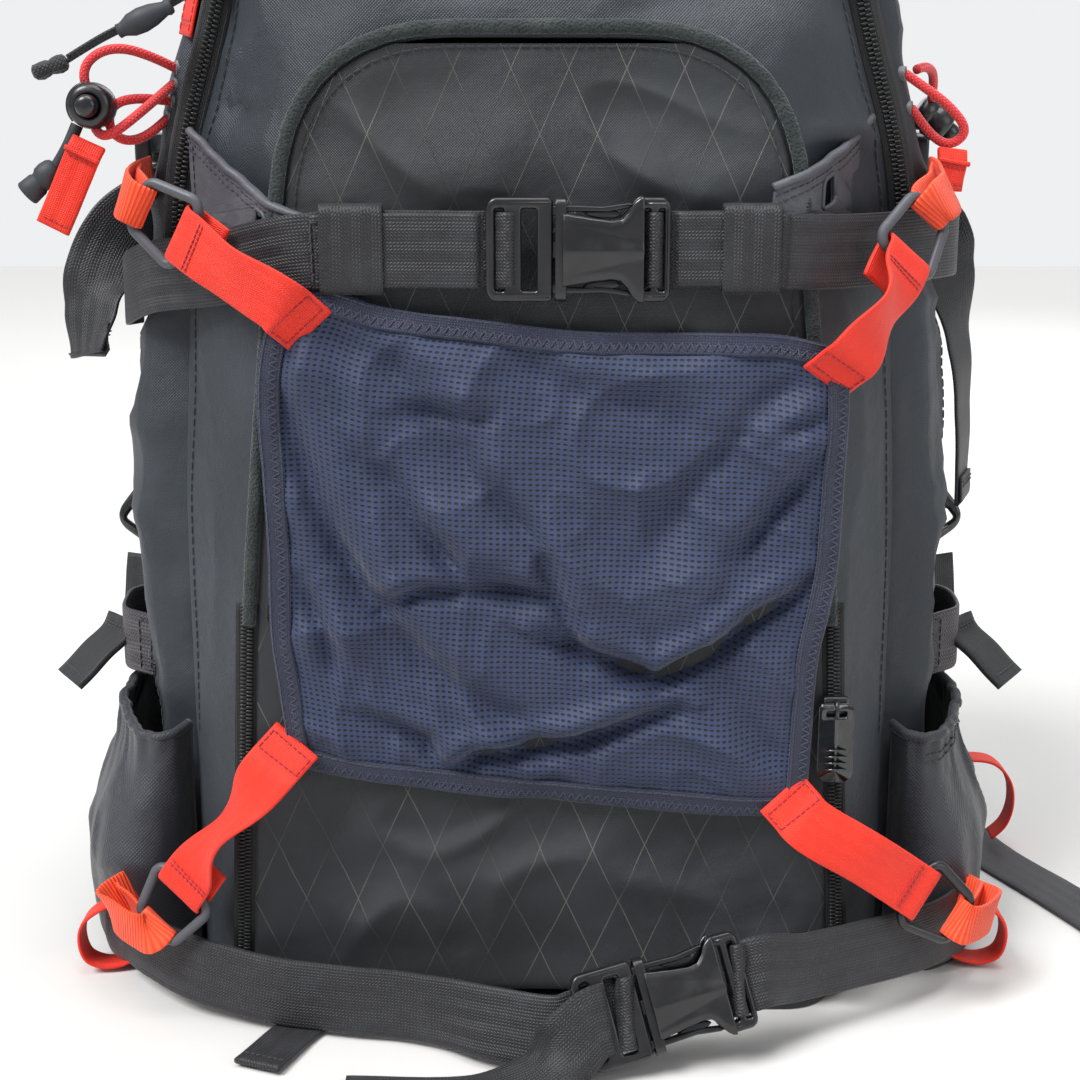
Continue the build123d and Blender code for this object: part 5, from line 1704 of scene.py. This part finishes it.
def build_cords():
    plan = [("shock_cord_left_loop", "shock_cord_left", 3.4, "pack", 0.100, "object"),
            ("shock_cord_left_low_loop", None, 3.4, "pack", 0.058, "object"),
            ("shock_cord_right_loop", "shock_cord_right", 3.4, "pack", 0.062, "object"),
            ("shock_cord_right_rear", None, 3.4, "pack", 0.032, "object"),
            ("zip_lace", "zip_cord", 1.7, "main_zip_slider", 0.060, "knot")]
    made = {}
    for name, node, thick, body, length, far_end in plan:
        line = route_line(CORDS[name])
        cord = tube(name, line, thick / 2, "lace" if name == "zip_lace" else "cord", 14)
        settle(cord, body, "black_webbing" if name == "zip_lace" else "red_cord", *([node] if node else []))
        made[name] = (cord, line, length, thick, far_end)
    second = route_line(CORDS["zip_lace"], (0.0006, -0.0004, 0.0017))
    twin = settle(tube("zip_lace_twin", second, 0.8, "lace", 12), "main_zip_slider", "black_webbing")
    made["zip_lace_twin"] = (twin, second, 0.060, 1.6, "knot")
    for name, (cord, line, length, thick, far_end) in made.items():
        "limp" if "lace" in name else "medium"
        [tuple(p * MM) for p in line]
    paint("cord_eyelets", "grommet")


def build_cord_fittings():
    """Locks, buttons, tabs and the bell on the elastic cords, and the zip's grip."""
    left, right = Vector((-155, -60, 328)), Vector((146.5, -10, 323))
    left_axis, right_axis = Vector((0, -1, 0)), Vector((0.8, 0, -0.6))
    dome = [(-7.0, 3.6), (-6.9, 5.4), (-6.0, 6.9), (-4.2, 7.7), (-1.0, 8.0), (2.5, 7.9), (4.6, 7.6),
            (5.6, 7.0), (6.2, 6.2), (6.5, 5.2), (6.6, 4.4), (5.2, 4.3)]
    barrel = [(-7.0, 3.2), (-6.9, 4.8), (-6.2, 5.8), (-4.5, 6.3), (-2.0, 6.5), (-1.6, 6.0), (-1.0, 6.0),
              (-0.6, 6.5), (4.2, 6.4), (5.8, 6.0), (6.5, 5.4), (6.6, 4.4), (5.2, 4.3)]
    shapes = [lathe("lock", dome, left, left_axis, "black", 36),
              lathe("lock", barrel, right, right_axis, "black", 32)]
    # ridges of the grip
    for far in (-3.4, 0.2, 3.8):
        spot = left + left_axis * far
        angles = [math.radians(100 + k * 8) for k in range(16)]
        shapes.append(tube("ridge", [spot + Vector((math.cos(a), 0, math.sin(a))) * 7.75 for a in angles],
                           0.55, "black", 8))
    settle(merge("cord_lock_bodies", [outward(s) for s in shapes]), "pack", "black_plastic", "cord_locks")
    button = [(0, 3.5), (0, 3.9), (5.8, 3.9), (7.0, 3.7), (8.0, 3.0), (8.4, 2.0), (8.5, 0.9)]
    for name, centre, axis in (("left", left, left_axis), ("right", right, right_axis)):
        top = lathe("cord_button_shape_" + name, button, centre + axis * 3, axis, "black", 24)
        settle(top, "cord_button_" + name, "black_plastic", "cord_button_" + name)

    tabs, pairs = [], []
    for route, side, width in (
            ([(-156.2, -62.6, 315.5), (-157.6, -64.6, 312.4), (-162, -64, 303.6), (-166.4, -63.4, 294.6),
              (-170.5, -63, 286.5)], (0.9, 0, -0.45), 12),
            ([(149, -35.4, 312.5), (148.8, -37.4, 308), (147.9, -37.6, 303), (147.5, -37, 298)],
             (0.95, 0.2, -0.1), 11)):
        tab = strap(route, side, width, 2.6, step=1.2, ripple=0.2, seed=width)
        tabs.append(tab.build("cord_tab", "red"))
        for s in (5.5, 6.8, tab.length - 2.5):
            pairs += tab.row(s, 5, 1.3, 0.4, 0.12)
        band = [tab.at(5.0, a, 0.5) for a in (-width / 2 - 0.4, 0, width / 2 + 0.4)]
        tabs.append(tube("fold", spline(band, 12), 0.9, "red", 8))
    settle(merge("cord_tab_webbing", tabs), "pack", "red_webbing", "cord_tabs")
    settle(stitches("cord_tab_thread", pairs, "thread_red", 0.26), "pack", "red_webbing")

    stem = tube("bell", spline([(-161.5, -56.5, 321.5), (-165, -57.5, 314), (-170, -58, 306)], 22), 2.2,
                "rubber", 16)
    bell = lathe("bell", [(0, 2.6), (0.4, 3.6), (1.6, 4.4), (4, 4.9), (6.4, 4.7), (7.6, 3.9), (8.4, 3.8),
                          (9.2, 4.3), (14.0, 4.6), (14.5, 4.2), (14.5, 2.6), (12, 2.4)],
                 (-169, -57.9, 307.2), (-0.76, -0.05, -0.64), "rubber", 28)
    settle(merge("cord_bell_shape", [stem, bell]), "pack", "rubber_grey", "cord_bell")

    a, b = Vector((-125.6, -61, 361.4)), Vector((-144.4, -62, 352.6))
    axis = b - a
    n = axis.length
    grip = lathe("grip", [(0, 2.0), (0.3, 2.5), (1.6, 2.9), (2.4, 2.5), (3.0, 2.6), (n * 0.35, 3.8),
                          (n * 0.55, 4.3), (n * 0.75, 3.9), (n - 2.6, 2.7), (n - 1.6, 2.4), (n - 0.3, 2.5),
                          (n, 2.0)], a, axis, "rubber", 28)
    end = Vector((-162.5, -63, 342.6))
    knot = lathe("knot", [(-0.5, 1.8), (0.3, 2.7), (2, 3.1), (4.2, 2.9), (5.4, 2.4), (6.6, 2.8), (9.0, 3.0),
                          (11.2, 2.6), (12, 1.6)], end, (-12.5, -0.3, -4.2), "lace", 24, 0.16)
    settle(merge("zip_grip_shapes", [grip, knot]), "main_zip_slider", "rubber_grey", "zip_grip")


POCKET_ZIP_X = 104.7


def build_sliders():
    """Sliders of both zips and the pocket zip's pull."""
    along = Vector((13, 0, 69)).normalized()
    across = Vector((along.z, 0, -along.x))
    out = Vector((0, -1, 0))
    body = rounded_block("body", (8.8, 4.4, 12.6), 1.2, "gloss")
    for v in body.data.vertices:  # a slider narrows towards its tail
        v.co.x *= 1 - 0.18 * (1 if v.co.z < -0.002 else 0)
    bridge = tube("bridge", spline([(0, -1.8, 4.8), (0, -4.2, 4.0), (0, -4.6, 0), (0, -4.0, -3.6),
                                    (0, -1.8, -4.4)], 22), 1.0, "black", 10)
    slider = merge("main_zip_slider_shape", [body, bridge])
    put(slider, across, -out, along, (-109.6, -54.9, 373))
    settle(outward(slider), "main_zip_slider", "black_plastic", "main_zip_slider")
    x, z = POCKET_ZIP_X, 119.0
    body = rounded_block("body", (9, 3.6, 12), 1.1, "black")
    put(body, (1, 0, 0), (0, 1, 0), (0, 0, 1), (x, -94.6, z - 0.2))
    eye = tube("eye", spline([(x, -95.8, z + 4.2), (x, -98.6, z + 4.4), (x, -100.0, z + 2.2),
                              (x, -100.0, z + 0.6), (x, -98.8, z - 1.0), (x, -95.8, z - 1.0)], 24),
               0.75, "black", 10)
    settle(merge("pocket_zip_slider_shape", [body, eye]), "pocket_zip_slider", "black_plastic",
           "pocket_zip_slider")
    outline = [(x - 5.4, 117.2), (x - 5.4, 122), (x + 5.4, 122), (x + 5.4, 117.2), (x + 5.6, 97),
               (x + 3.6, 95), (x - 3.4, 95), (x - 5.4, 97)]
    hole = [(x - 3.5, 118.4), (x + 3.5, 118.4), (x + 3.5, 120.6), (x - 3.5, 120.6)]
    pull = plate("pull", round_corners(outline, [0.5, 1.6, 1.6, 0.5, 2, 2, 2, 2], 5), 2.6, 0.8, "gloss",
                 [round_corners(hole, 0.7, 4)])
    put(pull, (1, 0, 0), (0, 1, 0), (0, 0, 1), (0, -98.2, 0))
    ribs = [tube("rib", [Vector((x - 3.6, -99.7, h)), Vector((x, -99.85, h)), Vector((x + 3.8, -99.7, h))],
                 0.4, "gloss", 8) for h in (99, 101.4, 103.8, 106.2)]
    settle(merge("pocket_zip_pull_shape", [pull] + ribs), "pocket_zip_pull", "pull_rubber", "pocket_zip_pull")



# ------------------------------------------------------ padding on the wearer's side

def swell(obj, cap, voxel=5.0):
    """Fills a closed soft form: its cover is blown up against its own stretch."""
    modify(obj, "REMESH", mode="VOXEL", voxel_size=voxel * MM)
    apply_all(obj)
    start = [v.co.copy() for v in obj.data.vertices]
    cloth = obj.modifiers.new("cover", "CLOTH")
    cloth.settings.use_pressure = True
    cloth.settings.uniform_pressure_force = 4
    cloth.settings.effector_weights.gravity = 0
    cloth.point_cache.frame_start, cloth.point_cache.frame_end = 1, 20
    for frame_number in range(1, 21):
        bpy.context.scene.frame_set(frame_number)
    apply_all(obj)
    for v, before in zip(obj.data.vertices, start):
        move = v.co - before
        if move.length > cap * MM:
            v.co = before + move.normalized() * cap * MM
    bpy.context.scene.frame_set(1)
    modify(obj, "SUBSURF", levels=1)
    apply_all(obj)
    obj.data.polygons.foreach_set("use_smooth", [True] * len(obj.data.polygons))
    return obj


def cushion(name, points, side, width, thick, material, tips, widths, cap=3.0):
    """A long padded piece along a route, crowned on both faces and rounded at its ends."""
    rail = Strip(points, side, width, thick, step=4.0, ripple=0.0, widths=widths)
    verts, sides, last = [], 32, len(rail.line) - 1
    for i, here in enumerate(rail.line):
        s = rail.length * i / last
        k = 1.0
        for far, tip in ((s, tips[0]), (rail.length - s, tips[1])):
            k *= math.sqrt(max(0.03, 1 - max(0.0, 1 - far / tip) ** 2))
        half = rail.width / 2 * rail.wide[i] * k
        for j in range(sides):
            c, q = math.cos(2 * math.pi * j / sides), math.sin(2 * math.pi * j / sides)
            crown = thick / 2 * (0.34 + 0.66 * (1 - abs(c) ** 2.4)) * (0.4 + 0.6 * k)
            dent = 1 + 0.08 * rumple(here.x + c * 30, here.y, here.z, 34, 81.0)
            verts.append(here + rail.sides[i] * (half * math.copysign(abs(c) ** 0.8, c))
                         + rail.normals[i] * (crown * dent * math.copysign(abs(q) ** 0.6, q)))
    obj = outward(mesh_object(name, verts, ring_faces(sides, last + 1), material))
    return swell(obj, cap), rail


def line_with(obj, material, test):
    """A second cloth on the faces that pass a test of centre and normal."""
    obj.data.materials.append(M[material])
    for face in obj.data.polygons:
        if test(face.center / MM, face.normal):
            face.material_index = 1


def on_cover(obj, line, lift=0.3):
    """A line laid on a piece's surface."""
    out = []
    for p in line:
        hit, place, normal, _ = obj.closest_point_on_mesh(p * MM)
        out.append(place / MM + normal * lift if hit else p)
    return out


def edge_binding(name, rail, inset=0.0, radius=2.2):
    """Folded tape round a padded piece's edge."""
    last = len(rail.line) - 1
    right, left = [], []
    for i in range(1, last):
        half = rail.width / 2 * rail.wide[i] - inset
        right.append(rail.line[i] + rail.sides[i] * half)
        left.append(rail.line[i] - rail.sides[i] * half)
    tip = rail.line[last] + (rail.line[last] - rail.line[last - 1]).normalized() * 1.0
    trim = 3
    path = right[:-trim] + [tip] + list(reversed(left[:-trim]))
    return tube(name, spline(path[::2], 160), radius, "tape", 10)


def build_back_panel():
    def half(z):
        if z < 250:
            return lerp(112, 118, (z - 30) / 220)
        return lerp(118, 88, (z - 250) / 180)
    nu, nv = 72, 110

    def place(u, v, front):
        z = lerp(31, 429, v)
        t = 2 * u - 1
        corner = 26
        h = half(z)
        near = min(z - 31, 429 - z)
        if near < corner:
            h -= corner - math.sqrt(max(0, corner ** 2 - (corner - near) ** 2))
        x = t * h
        edge = min((1 - abs(t)) * h, near) / 15
        rise = math.sqrt(max(0.0, 1 - (1 - min(1, edge)) ** 2))
        channel = math.exp(-(x / 13) ** 4) * smooth((z - 100) / 20)
        cross = math.exp(-((z - 236) / 8.5) ** 4)
        seams = math.exp(-((abs(x) - 62) / 3.0) ** 2) * 0.25 * (z < 420)
        rows = 0.3 * math.exp(-((z - 122) / 3.0) ** 2) + 0.3 * math.exp(-((z - 338) / 3.0) ** 2)
        crown = 14.5 * rise * (1 - 0.82 * max(channel, cross)) * (1 - min(0.5, seams + rows))
        return Vector((x, 78.6 + (crown + 0.7 * rumple(x, 3, z, 40, 83) * rise if front else 0.0), z))
    verts, faces = [], []
    for front in (True, False):
        o = len(verts)
        for j in range(nv + 1):
            for i in range(nu + 1):
                verts.append(place(i / nu, j / nv, front))
        for j in range(nv):
            for i in range(nu):
                a = o + j * (nu + 1) + i
                faces.append((a, a + 1, a + nu + 2, a + nu + 1))
    obj = mesh_object("back_panel_pads", verts, faces, "foam")
    made = bmesh.new()
    made.from_mesh(obj.data)
    bmesh.ops.remove_doubles(made, verts=made.verts, dist=0.0003)
    made.to_mesh(obj.data)
    made.free()
    swell(outward(obj), 2.5, 4.5)

    def wearer(p, normal):
        h = half(p.z)
        return normal.y > 0.25 and abs(p.x) < h - 11 and 42 < p.z < 418
    line_with(obj, "airmesh", wearer)
    settle(obj, "pack", "foam_pad", "back_panel")
    pairs = []
    for x in (-62, 62):
        pairs += seam_pairs(on_cover(obj, [Vector((x, 96, z)) for z in range(46, 414, 3)], 0.3), 3.2, 1.0)
    for z in (122, 338):
        for side in (-1, 1):
            row = [Vector((side * x, 96, z)) for x in range(20, int(half(z)) - 10, 3)]
            pairs += seam_pairs(on_cover(obj, row, 0.3), 3.2, 1.0)
    ring = []
    for k in range(200):
        angle = 2 * math.pi * k / 200
        z = 230 + 196 * math.copysign(abs(math.sin(angle)) ** 0.35, math.sin(angle))
        across = math.copysign(abs(math.cos(angle)) ** 0.35, math.cos(angle))
        ring.append(Vector((across * (half(z) - 5), 88, z)))
    pairs += seam_pairs(on_cover(obj, ring + ring[:1], 0.3), 3.0, 1.0)
    settle(stitches("back_panel_thread", pairs), "pack", "foam_pad")


def build_shoulder_straps():
    pads, pairs, pieces = [], [], []
    for side in (1, -1):
        route = mirror([(50, 94, 426), (53, 108, 408), (58, 126, 365), (70, 136, 326), (86, 139, 290),
                        (106, 138, 252), (126, 133, 218), (144, 124.5, 190), (158, 117, 168)], side)
        pad, rail = cushion("pad", route, (1, 0.05 * side, 0), 56, 11, "foam", tips=(4, 20),
                            widths=[0.96, 0.97, 1.0, 1.0, 0.99, 0.96, 0.92, 0.86, 0.78])
        line_with(pad, "airmesh", lambda p, n: n.y < -0.3)
        pads.append(pad)
        pieces.append(edge_binding("binding", rail, 1.4))
        for a in (-21, 21):
            lines = [rail.at(s, a * (1 - 0.2 * s / rail.length), 3)
                     for s in range(14, int(rail.length) - 14, 3)]
            pairs += seam_pairs(on_cover(pad, lines), 3.0, 1.0)
        spine = strap([rail.at(s, 0, 1.4) for s in (18, 70, 130, 190, int(rail.length) - 26)],
                      (1, 0.05 * side, 0), 20, 1.6, face=(0, 1, 0.2), ripple=0.2, seed=90.0 + side)
        for i, p in enumerate(spine.line):
            spine.line[i] = on_cover(pad, [p + spine.normals[i] * 8], 0.9)[0]
        pieces.append(spine.build("spine", "webbing"))
        for s in range(24, int(spine.length) - 10, 38):
            for ds in (0, 2.0):
                pairs += spine.row(s + ds, 9, 1.8, 0.5, 0.2)
        link = strap(mirror([(153, 120, 178), (161, 116.6, 165), (167.5, 114.4, 154.6), (171.6, 113, 148)],
                            side),
                     (0.8, -0.1 * side, 0.6 * side), 20, 2.2, face=(0, 1, 0), ripple=0.1, seed=93.0)
        pieces.append(link.build("link", "webbing"))
    obj = merge("shoulder_pads", pads)
    settle(obj, "pack", "foam_pad", "shoulder_straps")
    settle(merge("shoulder_pad_trim", pieces), "pack", "black_webbing")
    settle(stitches("shoulder_pad_thread", pairs), "pack", "black_webbing")


def build_ladder_locks():
    for side, name in ((1, "right"), (-1, "left")):
        outline = [(-17, -13), (17, -13), (17, 13), (-17, 13)]
        holes = [round_corners([(-12, z), (12, z), (12, z + 6), (-12, z + 6)], 1.6, 4)
                 for z in (-8.6, 2.6)]
        lock = plate("lock", round_corners(outline, [8, 8, 10, 10], 8), 5.0, 1.5, "gloss", holes)
        x_axis, z_axis = Vector((side * 0.76, -0.1, 0.62)), Vector((side * 0.6, -0.22, -0.77))
        x_axis, z_axis = x_axis.normalized(), z_axis.normalized()
        out, middle = z_axis.cross(x_axis).normalized(), Vector((side * 176.5, 111.5, 142))
        put(lock, x_axis, out, z_axis, middle)
        ribs = []
        for h in (-11, -9.9, 9.9, 11):
            spot = middle + z_axis * h + out * 2.5
            ribs.append(tube("rib", [spot - x_axis * 8, spot + x_axis * 8], 0.45, "gloss", 8))
        settle(merge("ladder_lock_frame_" + name, [outward(lock)] + ribs), "ladder_lock_" + name,
               "black_plastic", "ladder_lock_" + name)


def build_back_webbing():
    """Shoulder, chest and hip webbing, and the haul loop."""
    parts = []
    for side in (1, -1):
        route = mirror([(181.2, 107.4, 125.2), (182.4, 105.6, 112), (182.6, 102, 97), (176.6, 94.4, 71),
                        (168, 89, 56), (160, 84, 44)], side)
        parts.append(strap(route, (0.85, 0.3 * side, 0), 22, 1.7, face=(0, 1, 0), ripple=0.5,
                           seed=100.0 + side).build("webbing", "webbing"))
    settle(merge("shoulder_webbing_cloth", parts), "pack", "black_webbing", "shoulder_webbing")

    for side, name in ((1, "right"), (-1, "left")):
        route = mirror([(92, 146.8, 338), (70, 148.2, 338), (44, 148.6, 338), (25.2, 150, 338),
                        (21.0, 150.4, 338)], side)
        chest = strap(route, UP, 19, 1.6, face=(0, 1, 0), ripple=0.3, seed=103.0 + side)
        cloth = chest.build("sternum_webbing_cloth_" + name, "webbing")
        if side > 0:
            settle(cloth, "pack", "black_webbing", "sternum_webbing_right")
        else:
            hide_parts("sternum_webbing_left")
            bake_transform(cloth)

    halves, pairs = [], []
    for side in (1, -1):
        route = mirror([(66, 101, 74), (92, 101.4, 73.6), (118, 104, 72), (140, 109, 69.4), (160, 119, 66),
                        (170, 134, 62.6), (174, 150, 60)], side)
        pad, rail = cushion("hip", route, UP, 88, 11.5, "foam", tips=(4, 24),
                            widths=[1.0, 1.0, 1.0, 0.98, 0.92, 0.84, 0.72])
        line_with(pad, "airmesh", lambda p, n, side=side: n.y - 0.6 * side * n.x > 0.3)
        halves.append(pad)
        halves.append(edge_binding("binding", rail, 1.6))
        for a in (-34, 0, 34):
            for lift in (3, -14):
                lines = [rail.at(s, a * (1 - 0.26 * s / rail.length), lift)
                         for s in range(10, int(rail.length) - 12, 3)]
                pairs += seam_pairs(on_cover(pad, lines), 3.0, 1.0)
    obj = merge("hip_pads", halves)
    settle(obj, "pack", "foam_pad", "hip_wings")
    settle(stitches("hip_pad_thread", pairs), "pack", "black_webbing")

    right = strap([(174, 152, 62), (181, 149, 44), (184, 136, 26), (187, 118, 11), (195, 70, 1.6),
                   (222, 4, 1.4), (236, -32, 1.6)], (1, 0.2, 0), 25, 1.7, face=(0, 0, 1), ripple=0.3,
                  seed=110.0)
    left = strap([(-174, 150, 62), (-178, 152, 44), (-178, 172, 14), (-166, 198, 1.8), (-120, 214, 1.4),
                  (-62, 217, 1.6)],
                 [(1, 0, 0), (1, 0, 0), (1, 0, 0), (0.8, -0.6, 0), (0, -1, 0), (0, -1, 0)],
                 25, 1.7, face=(0, 0, 1), ripple=0.3, seed=111.0)
    both = merge("hip_webbing_cloth", [right.build("hip", "webbing"), left.build("hip", "webbing")])
    settle(both, "pack", "black_webbing", "hip_webbing")

    haul = Strip([(-34, 86.5, 433), (-34, 86.5, 454), (-30.5, 86.5, 464.5), (-20, 86.5, 469),
                  (20, 86.5, 469), (30.5, 86.5, 464.5), (34, 86.5, 454), (34, 86.5, 433)],
                 [(1, 0, 0), (1, 0, 0), (0.7, 0, -0.7), (0, 0, -1), (0, 0, -1), (-0.7, 0, -0.7), (-1, 0, 0),
                  (-1, 0, 0)], 16, 2.4, step=1.6, ripple=0.15, seed=112.0)
    settle(haul.build("haul_loop_webbing", "webbing"), "haul_loop", "black_webbing", "haul_loop")
    pairs = []
    for a in (-6.4, 6.4):
        for lift in (0.15, -2.55):
            pairs += seam_pairs([haul.at(s, a, lift) for s in range(2, int(haul.length) - 1, 2)], 2.6, 0.9)
    settle(stitches("haul_loop_thread", pairs), "haul_loop", "black_webbing")


def build_inside():
    """Base, frame and divider."""
    half = [(100, -90), (131, -54), (150, -28), (150, 64), (136, 78)]
    outline = round_corners(half + [(-x, y) for x, y in reversed(half)], 9, 6)
    base = plate("base_plate", outline, 3.0, 1.1, "base")
    put(base, Vector((1, 0, 0)), Vector((0, 0, -1)), Vector((0, 1, 0)), (0, 0, 1.5))
    settle(outward(base), "pack", "base_fabric", "base_panel")
    paint("frame_sheet", "sheet")
    paint("frame_stay", "steel")

    def place(u, v):
        z = lerp(12, 285, v)
        wide = lerp(88, 70, smooth((z - 205) / 20))
        return Vector(((2 * u - 1) * wide, -70.8 + 0.6 * rumple((2 * u - 1) * wide, 0, z, 40, 120), z))
    divider = surface("tool_divider_cloth", place, 60, 90, "lining", 0.9)
    settle(outward(divider), "pack", "lining", "tool_divider")


# -------------------------------------------------------------- floor and light

def build_stage():
    floor = mesh_object("floor", [(-3000, -3000, 0), (3000, -3000, 0), (3000, 3000, 0), (-3000, 3000, 0)],
                        [(0, 1, 2, 3)], None)
    n = Nodes("pale_floor", (0.62, 0.615, 0.60), rough=0.6, specular=0.3)
    n.tint(n.ramp(n.noise(n.position(), 3, 3), 0.4, 0.7, 0.0, 0.05), (0.57, 0.56, 0.54))
    floor.data.materials.append(n.finish())
    world = bpy.data.worlds.new("studio")
    world.use_nodes = True
    tree = world.node_tree
    soft = tree.nodes["Background"]
    soft.inputs["Color"].default_value = (0.93, 0.95, 1.0, 1)
    soft.inputs["Strength"].default_value = 0.42
    wall = tree.nodes.new("ShaderNodeBackground")
    wall.inputs["Color"].default_value = (0.86, 0.87, 0.88, 1)
    seen, mix = tree.nodes.new("ShaderNodeLightPath"), tree.nodes.new("ShaderNodeMixShader")
    tree.links.new(seen.outputs["Is Camera Ray"], mix.inputs[0])
    tree.links.new(soft.outputs[0], mix.inputs[1])
    tree.links.new(wall.outputs[0], mix.inputs[2])
    tree.links.new(mix.outputs[0], tree.nodes["World Output"].inputs["Surface"])
    bpy.context.scene.world = world
    for name, place, size, power in (("key", (-1.0, -0.8, 1.8), 0.45, 3.9),
                                     ("fill", (1.5, -1.1, 1.0), 1.2, 8),
                                     ("top", (0.2, -0.1, 2.0), 1.2, 24),
                                     ("back", (0.5, 1.7, 1.2), 1.4, 10)):
        data = bpy.data.lights.new(name, "SUN" if name == "key" else "AREA")
        data.energy = power
        if name == "key":
            data.angle = size
        else:
            data.size = size
        lamp = bpy.data.objects.new(name, data)
        lamp.location = place
        lamp.rotation_euler = (Vector((0, 0, 0.22)) - Vector(place)).to_track_quat("-Z", "Y").to_euler()
        bpy.context.scene.collection.objects.link(lamp)


for build in (build_camera, build_materials, build_cords, build_body, build_seams, build_front,
              build_pocket, build_zips, build_buckles, build_upper_straps, build_lower_straps,
              build_mesh, build_tabs, build_anchor_loops, build_wings, build_side_pockets,
              build_side_straps, build_tool_loops, build_cord_fittings, build_sliders,
              build_back_panel, build_shoulder_straps, build_ladder_locks, build_back_webbing,
              build_inside, build_stage):
    build()
